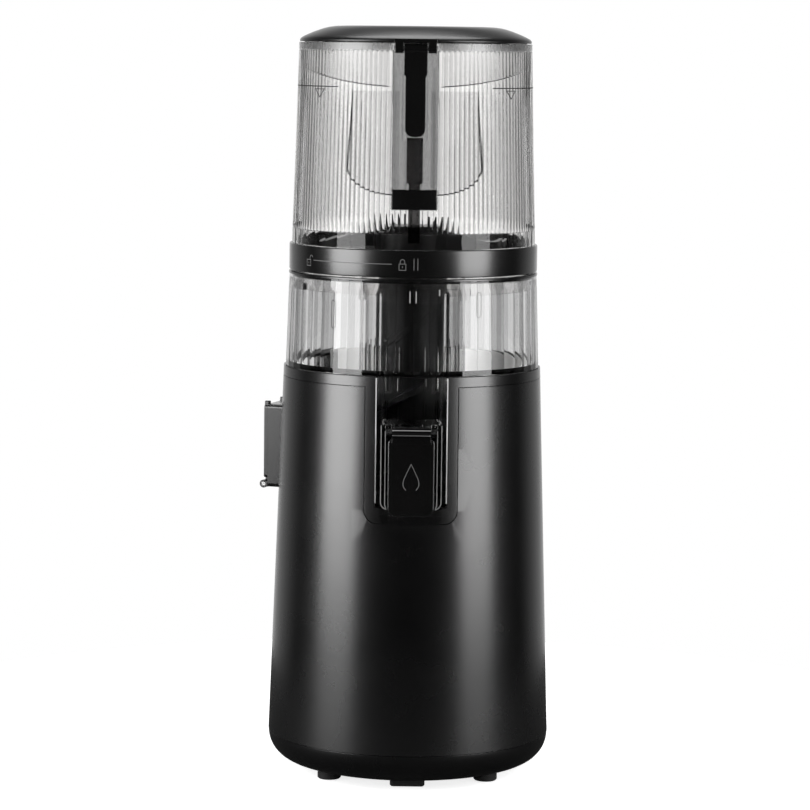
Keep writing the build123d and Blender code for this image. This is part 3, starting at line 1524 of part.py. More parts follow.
with BuildPart() as latch_bracket:
    front_block(bracket_half, bracket_back_y, bracket_front_y, lid_base_z, lid_base_z + bracket_height - 0.2)
    with BuildSketch(side):
        with Locations((latch_pin_y, latch_pin_z)):
            Circle(2.8)
        with Locations((latch_pin_y, (latch_pin_z + lid_base_z) / 2)):
            Rectangle(4.8, lid_base_z - latch_pin_z)
    extrude(amount=ear_half, both=True)
    with BuildSketch(side):
        with Locations((latch_pin_y, latch_pin_z - 1)):
            Rectangle(12, 2 * (lid_base_z - latch_pin_z + 1))
    extrude(amount=tongue_neck_half + slip_gap, both=True, mode=Mode.SUBTRACT)
    with BuildSketch(side):
        with Locations((latch_pin_y, latch_pin_z)):
            Circle(latch_pin_r)
    extrude(amount=ear_half, both=True, mode=Mode.SUBTRACT)

with BuildPart() as latch_pin:
    with BuildSketch(side):
        with Locations((latch_pin_y, latch_pin_z)):
            Circle(latch_pin_r)
    extrude(amount=ear_half, both=True)

with BuildPart() as latch:
    front_block(tongue_neck_half, tongue_back_y, tongue_back_y - tongue_thickness, tongue_neck_z, latch_pin_z)
    front_block(tongue_half, tongue_back_y, tongue_back_y - tongue_thickness, tongue_base_z, tongue_neck_z)
    fillet(latch.edges().filter_by(Axis.Y).group_by(Axis.Z)[0], 5)
    with BuildSketch(side):
        with Locations((latch_pin_y, latch_pin_z)):
            Circle(latch_barrel_r)
    extrude(amount=tongue_neck_half, both=True)
    with BuildSketch(side):
        with Locations((latch_pin_y, latch_pin_z)):
            Circle(latch_pin_r + running_gap)
    extrude(amount=tongue_neck_half, both=True, mode=Mode.SUBTRACT)

# ================================================================ files
pieces = {
    "body_shell": body_shell,
    "seat_collar": seat_collar,
    "bottom_cover": bottom_cover,
    "round_feet": round_feet,
    "front_foot": front_foot,
    "cord_gland": cord_gland,
    "switch_bezel": switch_bezel,
    "switch_rocker": switch_rocker,
    "motor_can": motor_can,
    "motor_end_cap": motor_end_cap,
    "stator": stator,
    "rotor": rotor,
    "motor_shaft": motor_shaft,
    "motor_pinion": motor_pinion,
    "cooling_fan": cooling_fan,
    "gearbox_base": gearbox_base,
    "gearbox_cover": gearbox_cover,
    "cluster_pin": cluster_pin,
    "cluster_gear": cluster_gear,
    "output_gear": output_gear,
    "drive_shaft": drive_shaft,
    "gear_clip": gear_clip,
    "lower_bush": lower_bush,
    "upper_bush": upper_bush,
    "shaft_seal": shaft_seal,
    "gearbox_screws": gearbox_screws,
    "motor_screws": motor_screws,
    "bottom_screws": bottom_screws,
    "circuit_board": circuit_board,
    "board_holder": board_holder,
    "chamber": chamber,
    "chamber_rim": chamber_rim,
    "floor_seal": floor_seal,
    "strainer": strainer,
    "spout_ears": spout_ears,
    "juice_spout": juice_spout,
    "strainer_seat": strainer_seat,
    "juice_cap_pin": juice_cap_pin,
    "juice_cap": juice_cap,
    "juice_cap_seal": juice_cap_seal,
    "pulp_spout": pulp_spout,
    "pulp_ears": pulp_ears,
    "pulp_cap_pin": pulp_cap_pin,
    "pulp_cap": pulp_cap,
    "screw": screw,
    "screw_blade": screw_blade,
    "hopper": hopper,
    "hopper_funnel": hopper_funnel,
    "hopper_ring": hopper_ring,
    "hopper_rim": hopper_rim,
    "front_channel": front_channel,
    "guard_panel": guard_panel,
    "interlock_housing": interlock_housing,
    "interlock_rod": interlock_rod,
    "lid": lid,
    "lid_skirt": lid_skirt,
    "lid_hinge_pin": lid_hinge_pin,
    "latch_bracket": latch_bracket,
    "latch_pin": latch_pin,
    "latch": latch,
}

os.makedirs("parts", exist_ok=True)
for label, piece in pieces.items():
    piece.part.label = label
    export_step(piece.part, f"parts/{label}.step")
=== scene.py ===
"""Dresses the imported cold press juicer: clear mouldings, finishes, marks, studio.

Every length in the classes is in millimetres, as in the part's source, and is
turned into metres where a mesh is made.
"""

import logging
import math
from dataclasses import dataclass, field
from enum import Enum
from typing import Callable, Iterable, Sequence

import bmesh
import bpy
from mathutils import Matrix, Vector


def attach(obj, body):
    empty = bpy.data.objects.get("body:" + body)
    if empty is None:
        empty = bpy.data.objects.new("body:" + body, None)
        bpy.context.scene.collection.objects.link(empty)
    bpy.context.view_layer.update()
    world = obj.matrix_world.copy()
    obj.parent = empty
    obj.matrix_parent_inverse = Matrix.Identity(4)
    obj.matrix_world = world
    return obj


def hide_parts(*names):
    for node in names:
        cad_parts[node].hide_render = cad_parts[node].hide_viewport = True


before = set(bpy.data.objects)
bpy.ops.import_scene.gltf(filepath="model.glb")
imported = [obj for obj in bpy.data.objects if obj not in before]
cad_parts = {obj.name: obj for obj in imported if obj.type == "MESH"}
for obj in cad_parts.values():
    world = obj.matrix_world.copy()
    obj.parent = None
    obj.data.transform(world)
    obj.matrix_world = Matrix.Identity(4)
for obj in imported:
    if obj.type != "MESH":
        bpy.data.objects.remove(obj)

LOG = logging.getLogger("juicer")
MM = 0.001
TAU = 2 * math.pi
FRONT = -math.pi / 2
WELD = 2e-6
CLOSE = 1e-6
SMOOTH = 38.0
PULP_AZIMUTH = -110.0

Point = tuple[float, float]
Colour = tuple[float, float, float]
Draft = bmesh.types.BMesh
Socket = bpy.types.NodeSocket
Surface = Callable[[float, float], Vector]
Canvas = Callable[[float, float], tuple[Vector, Vector]]


def mm(x: float, y: float, z: float) -> Vector:
    """Return a point given in millimetres as a vector in metres."""
    return Vector((x * MM, y * MM, z * MM))


def polar(radius: float, angle: float, z: float) -> Vector:
    """Return the point in metres at a radius and a height in millimetres and an angle."""
    return mm(radius * math.cos(angle), radius * math.sin(angle), z)


def apart(angle: float, centre: float) -> float:
    """Return how far two angles are apart, in radians."""
    return abs((angle - centre + math.pi) % TAU - math.pi)


def arc(
    cx: float, cy: float, radius: float, start: float, stop: float, steps: int = 8
) -> list[Point]:
    """Return points along an arc, with its angles in degrees."""
    turns = [math.radians(start + (stop - start) * k / steps) for k in range(steps + 1)]
    return [(cx + radius * math.cos(turn), cy + radius * math.sin(turn)) for turn in turns]


def mirrored(run: Sequence[Point]) -> list[Point]:
    """Return a run of points on the other side of x = 0, from its end to its start."""
    return [(-x, y) for x, y in reversed(run)]


# ------------------------------------------------------------------- node trees
class NodeNet:
    """A short way to write a node tree."""

    def __init__(self, tree: bpy.types.NodeTree) -> None:
        """Keep the tree and empty it."""
        self.tree = tree
        tree.nodes.clear()

    def feed(self, target: bpy.types.Node, values: dict[str | int, object]) -> None:
        """Set a node's inputs.

        Args:
            target: The node.
            values: Its inputs by name or index, each a constant or another node's output.
        """
        for key, value in values.items():
            if isinstance(value, Socket):
                self.tree.links.new(value, target.inputs[key])
            elif value is not None:
                target.inputs[key].default_value = value

    def node(
        self, kind: str, values: dict[str | int, object] | None = None, **props: object
    ) -> bpy.types.Node:
        """Add a node.

        Args:
            kind: The node's type name.
            values: Its inputs, as feed takes them.
            **props: Attributes of the node, such as its operation.

        Returns:
            The new node.
        """
        made = self.tree.nodes.new(kind)
        for key, value in props.items():
            setattr(made, key, value)
        self.feed(made, values or {})
        return made

    def maths(
        self, operation: str, first: object, second: object = None, clamp: bool = False
    ) -> Socket:
        """Return the result of an operation on sockets or numbers."""
        values = {0: first, 1: second}
        return self.node("ShaderNodeMath", values, operation=operation, use_clamp=clamp).outputs[0]

    def ramp(self, value: Socket, start: float, stop: float, low: float, high: float) -> Socket:
        """Return a value with the range from start to stop mapped onto low to high."""
        spans = {"From Min": start, "From Max": stop, "To Min": low, "To Max": high}
        return self.node("ShaderNodeMapRange", {"Value": value, **spans}).outputs["Result"]

    def mix(self, factor: Socket, first: object, second: object) -> Socket:
        """Return a value between two sockets or numbers, by a factor."""
        values = {"Factor": factor, "A": first, "B": second}
        return self.node("ShaderNodeMix", values).outputs["Result"]

    def blend(self, factor: Socket, first: Socket | Colour, second: Socket | Colour) -> Socket:
        """Return a colour between two, by a factor."""
        ends = [end if isinstance(end, Socket) else (*end, 1) for end in (first, second)]
        values = {"Factor": factor, 6: ends[0], 7: ends[1]}
        return self.node("ShaderNodeMix", values, data_type="RGBA").outputs[2]


class Sheet(NodeNet):
    """The node tree of a material with one Principled shader."""

    def __init__(self, name: str) -> None:
        """Make the material and keep its output and shader nodes."""
        self.material = bpy.data.materials.new(name)
        self.material.use_nodes = True
        super().__init__(self.material.node_tree)
        self.output = self.node("ShaderNodeOutputMaterial")
        self.shader = self.node("ShaderNodeBsdfPrincipled")
        self.feed(self.output, {"Surface": self.shader.outputs[0]})

    def shade(self, values: dict[str, object]) -> None:
        """Set inputs of the shader, as feed takes them."""
        self.feed(self.shader, values)

    def place(self, stretch: tuple[float, float, float] = (1, 1, 1)) -> Socket:
        """Return object coordinates, stretched along the axes by the given factors."""
        where = self.node("ShaderNodeTexCoord").outputs["Object"]
        return self.node("ShaderNodeMapping", {"Vector": where, "Scale": stretch}).outputs[0]

    def noise(
        self, place: Socket, scale: float, detail: float = 3.0, roughness: float = 0.55
    ) -> Socket:
        """Return a noise value read at a place.

        Args:
            place: Coordinates that the noise reads.
            scale: Cells for each metre.
            detail: Octaves of the noise.
            roughness: Share of each finer octave.

        Returns:
            The noise's factor socket.
        """
        values = {"Vector": place, "Scale": scale, "Detail": detail, "Roughness": roughness}
        return self.node("ShaderNodeTexNoise", values).outputs["Fac"]

    def spread(self, noise: Socket, low: float, high: float) -> Socket:
        """Return a noise value stretched to run from low to high."""
        return self.ramp(noise, 0.3, 0.7, low, high)

    def flecked(self, noise: Socket, dark: Socket | Colour, light: Socket | Colour) -> Socket:
        """Return a colour that a noise moves between two."""
        return self.blend(self.spread(noise, 0, 1), dark, light)

    def mark(self, name: str) -> Socket:
        """Return the value of a mesh's own attribute."""
        return self.node("ShaderNodeAttribute", attribute_name=name).outputs["Fac"]

    def bump(self, height: Socket, depth: float, edge: float = 0.0) -> None:
        """Give the shader a bumped normal.

        Args:
            height: Height of the relief, from 0 to 1.
            depth: Depth of the relief in millimetres.
            edge: Radius of softened edges in millimetres, none at zero.
        """
        made = self.node(
            "ShaderNodeBump", {"Height": height, "Distance": depth * MM, "Strength": 1.0}
        )
        if edge > 0:
            soft = self.node("ShaderNodeBevel", {"Radius": edge * MM}, samples=4)
            self.feed(made, {"Normal": soft.outputs[0]})
        self.shade({"Normal": made.outputs[0]})


# --------------------------------------------------------------------- finishes
def grey(tone: float) -> Colour:
    """Return a neutral linear colour."""
    return (tone, tone, tone)


def scaled(colour: Colour, factor: float) -> Colour:
    """Return a colour made lighter or darker by a factor."""
    return tuple(min(1.0, channel * factor) for channel in colour)


@dataclass(frozen=True)
class Moulded:
    """Opaque moulded plastic or rubber with a fine grain.

    Attributes:
        name: Name of the material.
        colour: Linear base colour.
        roughness: Middle of the roughness.
        grain: Cells of the grain for each metre.
        depth: Depth of the grain in millimetres.
        mottle: Share by which the colour varies.
        specular: Specular level of the shader.
        edge: Radius of the softened edges in millimetres.
        sheen: Weight of a dusty sheen, for rubber.
    """

    name: str
    colour: Colour
    roughness: float = 0.38
    grain: float = 1700.0
    depth: float = 0.004
    mottle: float = 0.12
    specular: float = 0.5
    edge: float = 0.35
    sheen: float = 0.0

    def build(self) -> bpy.types.Material:
        """Return the material."""
        sheet = Sheet(self.name)
        place = sheet.place()
        fine = sheet.noise(place, self.grain, 2.0, 0.6)
        broad = sheet.noise(place, 22.0, 4.0, 0.6)
        dark, light = scaled(self.colour, 1 - self.mottle), scaled(self.colour, 1 + self.mottle)
        low, high = 0.95 * self.roughness, 1.05 * self.roughness
        sheet.shade(
            {
                "Base Color": sheet.flecked(broad, dark, light),
                "Roughness": sheet.spread(broad, low, high),
                "Specular IOR Level": self.specular,
                "Sheen Weight": self.sheen,
            }
        )
        sheet.bump(fine, self.depth, self.edge)
        return sheet.material


@dataclass(frozen=True)
class Clear:
    """See-through moulded plastic with a smoky tint, faint handling marks and painted shade where a
    wall's valley attribute asks for it.

    Attributes:
        name: Name of the material.
        tint: Linear colour that each surface lets through.
        roughness: Middle of the roughness.
        ior: Index of refraction.
        ripple: Depth of the moulding's slow waves in millimetres.
        painted_shade: Linear colour of painted shade, reached where the wall's valley attribute is
            one.
        frost: Roughness of the inner skin, where the wall's outside attribute is zero.
    """

    name: str
    tint: Colour
    roughness: float = 0.03
    ior: float = 1.5
    ripple: float = 0.02
    painted_shade: Colour | None = None
    frost: float = 0.0

    def build(self) -> bpy.types.Material:
        """Return the material."""
        sheet = Sheet(self.name)
        broad = sheet.noise(sheet.place(), 16.0, 2.0, 0.5)
        smear = sheet.noise(sheet.place((1, 1, 0.25)), 120.0, 5.0, 0.65)
        colour = sheet.flecked(broad, scaled(self.tint, 0.97), self.tint)
        # Painted shade: the colour runs towards a dark colour where the wall's valley attribute
        # rises.
        if self.painted_shade:
            colour = sheet.blend(sheet.mark("valley"), colour, self.painted_shade)
        polish = sheet.spread(smear, self.roughness * 0.6, self.roughness * 1.6)
        if self.frost > 0:
            polish = sheet.mix(sheet.mark("outside"), self.frost, polish)
        sheet.shade(
            {
                "Base Color": colour,
                "Roughness": polish,
                "IOR": self.ior,
                "Transmission Weight": 1.0,
            }
        )
        sheet.bump(broad, self.ripple)
        return sheet.material


@dataclass(frozen=True)
class Metal:
    """Turned or plated metal with fine tool lines round the upright axis.

    Attributes:
        name: Name of the material.
        colour: Linear base colour.
        roughness: Middle of the roughness.
        lines: Tool lines for each metre along the axis.
        depth: Depth of the tool lines in millimetres.
    """

    name: str
    colour: Colour
    roughness: float = 0.25
    lines: float = 1800.0
    depth: float = 0.01

    def build(self) -> bpy.types.Material:
        """Return the material."""
        sheet = Sheet(self.name)
        turned = sheet.noise(sheet.place((0.04, 0.04, 1)), self.lines, 2.0, 0.6)
        broad = sheet.noise(sheet.place(), 60.0, 4.0, 0.6)
        sheet.shade(
            {
                "Base Color": sheet.flecked(broad, scaled(self.colour, 0.82), self.colour),
                "Roughness": sheet.spread(turned, self.roughness * 0.8, self.roughness * 1.3),
                "Metallic": 1.0,
            }
        )
        sheet.bump(turned, self.depth, 0.2)
        return sheet.material


@dataclass(frozen=True)
class Board:
    """Printed circuit board: lacquer over copper lanes, with pads.

    Attributes:
        name: Name of the material.
        lacquer: Linear colour of the bare board.
        lane: Linear colour where copper lies under the lacquer.
        pitch: Lanes for each metre.
    """

    name: str
    lacquer: Colour
    lane: Colour
    pitch: float = 420.0

    def build(self) -> bpy.types.Material:
        """Return the material."""
        sheet = Sheet(self.name)
        place = sheet.place((0.2, 1, 1))
        sizes = {"Mortar Size": 0.012, "Brick Width": 2.6, "Row Height": 0.5}
        lanes = sheet.node(
            "ShaderNodeTexBrick", {"Vector": place, "Scale": self.pitch, **sizes}, offset=0.37
        ).outputs["Fac"]
        sheet.shade(
            {
                "Base Color": sheet.blend(lanes, self.lacquer, self.lane),
                "Roughness": sheet.spread(sheet.noise(place, 300.0), 0.22, 0.38),
            }
        )
        sheet.bump(lanes, 0.03)
        return sheet.material


CASE_TONE = (0.0014, 0.0014, 0.0015)
BASE_TONE = (0.0012, 0.0012, 0.0013)
LID_TONE = (0.006, 0.006, 0.0063)
HOPPER_TINT = (0.955, 0.95, 0.945)
ROD_TINT = (0.08, 0.078, 0.078)


class Finish(Enum):
    """The finishes of the machine, each with its record slot."""

    SHELL = ("shell", Moulded("case_black", CASE_TONE, 0.27, specular=1.0, edge=0.5))
    COLLAR = ("collar", Moulded("collar_black", CASE_TONE, 0.26, specular=1.0, edge=0.4))
    BASE = ("base", Moulded("base_black", BASE_TONE, 0.28, specular=0.7, edge=0.4))
    RUBBER = ("rubber", Moulded("foot_rubber", grey(0.008), 0.75, 900, 0.05, 0.2, sheen=0.1))
    SWITCH = ("switch", Moulded("rocker_black", grey(0.005), 0.22, specular=0.6))
    SATIN = ("satin_black", Moulded("satin_moulding", grey(0.003), 0.24, specular=0.9, edge=0.45))
    SCREW = ("screw_black", Moulded("auger_moulding", grey(0.003), 0.3, specular=0.4, edge=0.6))
    SIEVE = ("strainer_grey", Clear("strainer_smoke", grey(0.9), 0.03, 1.3))
    LID = ("lid_dark", Moulded("lid_moulding", LID_TONE, 0.3, 1500, specular=0.6, edge=1.0))
    # Painted light: a pale colour that stands in for light seen through the bowl.
    PAINTED_LIGHT = ("silicone", Moulded("painted_light_band", (0.82, 0.82, 0.81), 0.45, 1200, 0.01, 0.04, edge=0))
    SILICONE = ("silicone", Moulded("seal_silicone", (0.3, 0.3, 0.29), 0.5, 1200, 0.02))
    NYLON = ("gear_nylon", Moulded("gear_moulding", (0.74, 0.71, 0.62), 0.42, 1800, 0.015, 0.05))
    CASE = ("housing_nylon", Moulded("gear_case", grey(0.07), 0.5, 1400, 0.03, 0.15))
    # BOWL and HOPPER carry a dark colour of painted shade, reached where a wall's valley attribute
    # is one.
    BOWL = ("smoke_clear", Clear("bowl_clear", grey(0.93), 0.01, 1.5, 0.003, grey(0.2)))
    FRAME = ("smoke_clear", Clear("spout_clear", grey(0.8), 0.02))
    HOPPER = ("smoke_clear", Clear("hopper_clear", HOPPER_TINT, 0.01, 1.38, 0.0, grey(0.3), 0.05))
    INNER = ("smoke_clear", Clear("inner_clear", grey(0.86), 0.03, 1.35))
    RIM = ("smoke_rim", Clear("rim_frosted", grey(0.62), 0.25))
    ROD = ("smoke_rod", Clear("rod_smoke_clear", ROD_TINT, 0.05))
    PRINT = ("satin_black", Moulded("mark_print", grey(0.13), 0.5, edge=0))
    PALE = ("satin_black", Moulded("pale_print", grey(0.5), 0.5, edge=0))
    # Painted shade: a dark clear line round the bowl's bosses.
    EDGE = ("smoke_clear", Clear("painted_edge_shade_clear", grey(0.22), 0.08))
    CHANNEL = ("smoke_clear", Clear("channel_smoke_clear", grey(0.42), 0.03, 1.35))
    # Dark print for the fill lines, also used as painted shade along the guard's outline and the
    # lid skirt's lower edge.
    INK_AND_EDGE_SHADE = ("satin_black", Moulded("dark_print_and_painted_edge_shade", grey(0.012), 0.6, specular=0.2, edge=0))
    SEAM = ("collar", Moulded("seam_shadow", grey(0.0015), 0.8, specular=0.1, edge=0))
    # Painted highlight: pale lines on the slots' inner edges of the black body.
    SLOT_PAINTED_HIGHLIGHT = ("collar", Moulded("painted_slot_highlight", grey(0.6), 0.3, edge=0))
    # Painted highlight: pale lines on the clear spout's edges and the flap's hinge.
    PAINTED_HIGHLIGHT = ("smoke_clear", Moulded("painted_edge_highlight", grey(0.33), 0.25, specular=0.8, edge=0))
    STEEL = ("steel", Metal("turned_steel", grey(0.72), 0.2))
    CAN = ("motor_steel", Metal("plated_can", (0.55, 0.55, 0.56), 0.32, 500))
    CORE = ("core_iron", Metal("stacked_iron", (0.22, 0.21, 0.2), 0.5, 2400, 0.05))
    BRONZE = ("bronze", Metal("sintered_bronze", (0.62, 0.42, 0.2), 0.4, 900))
    BOARD = ("board", Board("circuit_lacquer", (0.015, 0.11, 0.045), (0.03, 0.2, 0.08)))

    @property
    def slot(self) -> str:
        """Name of the record's material slot."""
        return self.value[0]

    def material(self) -> bpy.types.Material:
        """Return the finish's material, built on its first use."""
        return bpy.data.materials.get(self.value[1].name) or self.value[1].build()

    def dress(self, piece: bpy.types.Object) -> None:
        """Put the finish on a piece in place of what it wears."""
        piece.data.materials.clear()
        piece.data.materials.append(self.material())


# ------------------------------------------------------------------ mesh making
def seat(
    piece: bpy.types.Object, body: str, finish: Finish, replaced: Iterable[str] = ()
) -> bpy.types.Object:
    """Dress a piece, put it on its body and hide the nodes it stands for.

    Args:
        piece: The finished piece, at the origin.
        body: Name of the moving body that carries it.
        finish: The finish it wears.
        replaced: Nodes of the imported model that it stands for.

    Returns:
        The same piece.
    """
    finish.dress(piece)
    piece.visible_shadow = not isinstance(finish.value[1], Clear)
    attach(piece, body)
    nodes = list(replaced)
    if nodes:
        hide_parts(*nodes)
    LOG.info("%s rides on %s with %d faces", piece.name, body, len(piece.data.polygons))
    return piece


def as_object(name: str, draft: Draft) -> bpy.types.Object:
    """Turn a draft mesh into a smooth-shaded object at the origin and free the draft."""
    mesh = bpy.data.meshes.new(name)
    draft.to_mesh(mesh)
    draft.free()
    mesh.shade_smooth()
    made = bpy.data.objects.new(name, mesh)
    bpy.context.scene.collection.objects.link(made)
    return made


def new_piece(name: str, draft: Draft, smooth_angle: float = 30.0) -> bpy.types.Object:
    """Turn a draft mesh into an object with smooth faces and sharp corners.

    Args:
        name: Name of the piece.
        draft: The draft mesh, freed here.
        smooth_angle: Corners above this many degrees stay sharp.

    Returns:
        The new object, at the origin.
    """
    bmesh.ops.remove_doubles(draft, verts=draft.verts, dist=CLOSE)
    bmesh.ops.recalc_face_normals(draft, faces=draft.faces)
    piece = as_object(name, draft)
    piece.data.set_sharp_from_angle(angle=math.radians(smooth_angle))
    return piece


def merged(node: str) -> Draft:
    """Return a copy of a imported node's triangles, merged at their corners."""
    draft = bmesh.new()
    draft.from_mesh(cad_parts[node].data)
    bmesh.ops.remove_doubles(draft, verts=draft.verts, dist=WELD)
    return draft


def trimmed(draft: Draft, point: Vector, facing: Vector) -> list[bmesh.types.BMEdge]:
    """Cut a draft by a plane and drop what lies on the side that the plane faces.

    Args:
        draft: The draft mesh.
        point: A point of the plane in metres.
        facing: The plane's normal.

    Returns:
        The open edges that the cut leaves.
    """
    geom = draft.verts[:] + draft.edges[:] + draft.faces[:]
    bmesh.ops.bisect_plane(draft, geom=geom, plane_co=point, plane_no=facing, clear_outer=True)
    return [edge for edge in draft.edges if edge.is_boundary]


class SurfaceNormals:
    """Works out the normals of the smooth surfaces that a draft's flat triangles stand for.

    A face that is part of a turned surface takes the exact direction from the upright
    axis. Any other corner takes the mean of the faces round it, each with the weight of
    the whole flat that it belongs to, so that flats stay flat beside their rounded edges.
    """

    SAME_FLAT = 0.9999995
    UPRIGHT = 0.02
    NEAR_AXIS = 0.012
    SKEW = 0.012
    SKEW_LENGTH = 0.00016

    def __init__(self, draft: Draft) -> None:
        """Sort a merged draft's faces into flats and turned surfaces."""
        draft.faces.ensure_lookup_table()
        draft.faces.index_update()
        draft.normal_update()
        self.faces = draft.faces
        self.owner = list(range(len(draft.faces)))
        for edge in draft.edges:
            if len(edge.link_faces) == 2:
                first, second = edge.link_faces
                if first.normal.dot(second.normal) > self.SAME_FLAT:
                    self.owner[self._flat(first.index)] = self._flat(second.index)
        self.area = [0.0] * len(self.owner)
        for face in draft.faces:
            self.area[self._flat(face.index)] += face.calc_area()
        self.level = {face: math.hypot(face.normal.x, face.normal.y) for face in draft.faces}
        self.turned = {face for face in draft.faces if self._is_turned(face)}

    def _flat(self, index: int) -> int:
        """Return the first face of the flat that a face belongs to."""
        owner = self.owner
        while owner[index] != index:
            owner[index] = owner[owner[index]]
            index = owner[index]
        return index

    def _is_turned(self, face: bmesh.types.BMFace) -> bool:
        """Return True where a face lies on a surface turned about the upright axis."""
        if self.level[face] < self.UPRIGHT:
            return False
        for vert in face.verts:
            radius = math.hypot(vert.co.x, vert.co.y)
            if radius < self.NEAR_AXIS:
                return False
            skew = abs(face.normal.y * vert.co.x - face.normal.x * vert.co.y) / radius
            if skew > self.level[face] * (self.SKEW + math.sqrt(self.SKEW_LENGTH / radius)):
                return False
        return True

    def _radial(
        self, face: bmesh.types.BMFace, other: bmesh.types.BMFace, co: Vector, limit: float
    ) -> Vector | None:
        """Return another turned face's normal, turned to a corner of this one.

        Args:
            face: The turned face whose corner is shaded.
            other: A face that meets it at the corner.
            co: The corner.
            limit: Cosine of the sharpest angle that still blends.

        Returns:
            The normal, or None where the two don't blend.
        """
        sign = 1.0 if face.normal.x * co.x + face.normal.y * co.y > 0 else -1.0
        slope = self.level[face] * self.level[other] + face.normal.z * other.normal.z
        same = sign * (other.normal.x * co.x + other.normal.y * co.y) > 0
        if other not in self.turned or not same or slope <= limit:
            return None
        flat = Vector((co.x, co.y, 0.0)).normalized() * (sign * self.level[other])
        return Vector((flat.x, flat.y, other.normal.z))

    def corners(self) -> list[Vector]:
        """Return one normal for each corner, in the order of the faces."""
        limit = math.cos(math.radians(SMOOTH))
        normals = []
        for face in self.faces:
            for vert in (loop.vert for loop in face.loops):
                total = Vector((0.0, 0.0, 0.0))
                for other in vert.link_faces:
                    if face in self.turned:
                        normal = self._radial(face, other, vert.co, limit)
                    else:
                        normal = other.normal if other.normal.dot(face.normal) > limit else None
                    if normal is not None:
                        total += normal * self.area[self._flat(other.index)]
                normals.append(total.normalized() if total.length > 0 else face.normal.copy())
        return normals


def finished(name: str, draft: Draft) -> bpy.types.Object:
    """Turn a merged draft into an object with the normals of the surfaces it stands for."""
    normals = SurfaceNormals(draft).corners()
    piece = as_object(name, draft)
    piece.data.normals_split_custom_set(normals)
    return piece


def moulding(name: str, node: str, body: str, finish: Finish) -> bpy.types.Object:
    """Make a smooth-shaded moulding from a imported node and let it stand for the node.

    Args:
        name: Name of the new piece.
        node: Node whose shape it takes.
        body: Body that carries it.
        finish: Its finish.

    Returns:
        The new piece.
    """
    return seat(finished(name, merged(node)), body, finish, [node])


def mouldings(body: str, rows: Iterable[tuple[str, str, Finish]]) -> None:
    """Make a moulding on one body for each row of piece name, node and finish."""
    for name, node, finish in rows:
        moulding(name, node, body, finish)


def loft(draft: Draft, sections: Sequence[list[bmesh.types.BMVert]], closed: bool) -> None:
    """Join sections with quads, and cap both ends unless the run closes on itself."""
    count = len(sections)
    for k in range(count if closed else count - 1):
        here, after = sections[k], sections[(k + 1) % count]
        for c, vert in enumerate(here):
            n = (c + 1) % len(here)
            draft.faces.new((vert, here[n], after[n], after[c]))
    if not closed:
        draft.faces.new(sections[0])
        draft.faces.new(list(reversed(sections[-1])))


def turned(name: str, profile: Sequence[Point], segments: int) -> bpy.types.Object:
    """Revolve a closed (radius, height) profile about the upright axis.

    Args:
        name: Name of the piece.
        profile: Corners of the section in millimetres, all off the axis.
        segments: Steps round the axis.

    Returns:
        The new object.
    """
    draft = bmesh.new()
    rings = [
        [draft.verts.new(polar(radius, TAU * step / segments, z)) for radius, z in profile]
        for step in range(segments)
    ]
    loft(draft, rings, True)
    return new_piece(name, draft)


def prism(outline: Sequence[Point], near_y: float, far_y: float) -> Draft:
    """Return a plate with an (x, z) outline between two distances along Y."""
    draft = bmesh.new()
    faces = [[draft.verts.new(mm(x, y, z)) for x, z in outline] for y in (near_y, far_y)]
    loft(draft, faces, False)
    return draft


def join(draft: Draft, other: Draft) -> None:
    """Add another draft mesh to a draft mesh and free it."""
    mesh = bpy.data.meshes.new("joined")
    other.to_mesh(mesh)
    other.free()
    draft.from_mesh(mesh)
    bpy.data.meshes.remove(mesh)


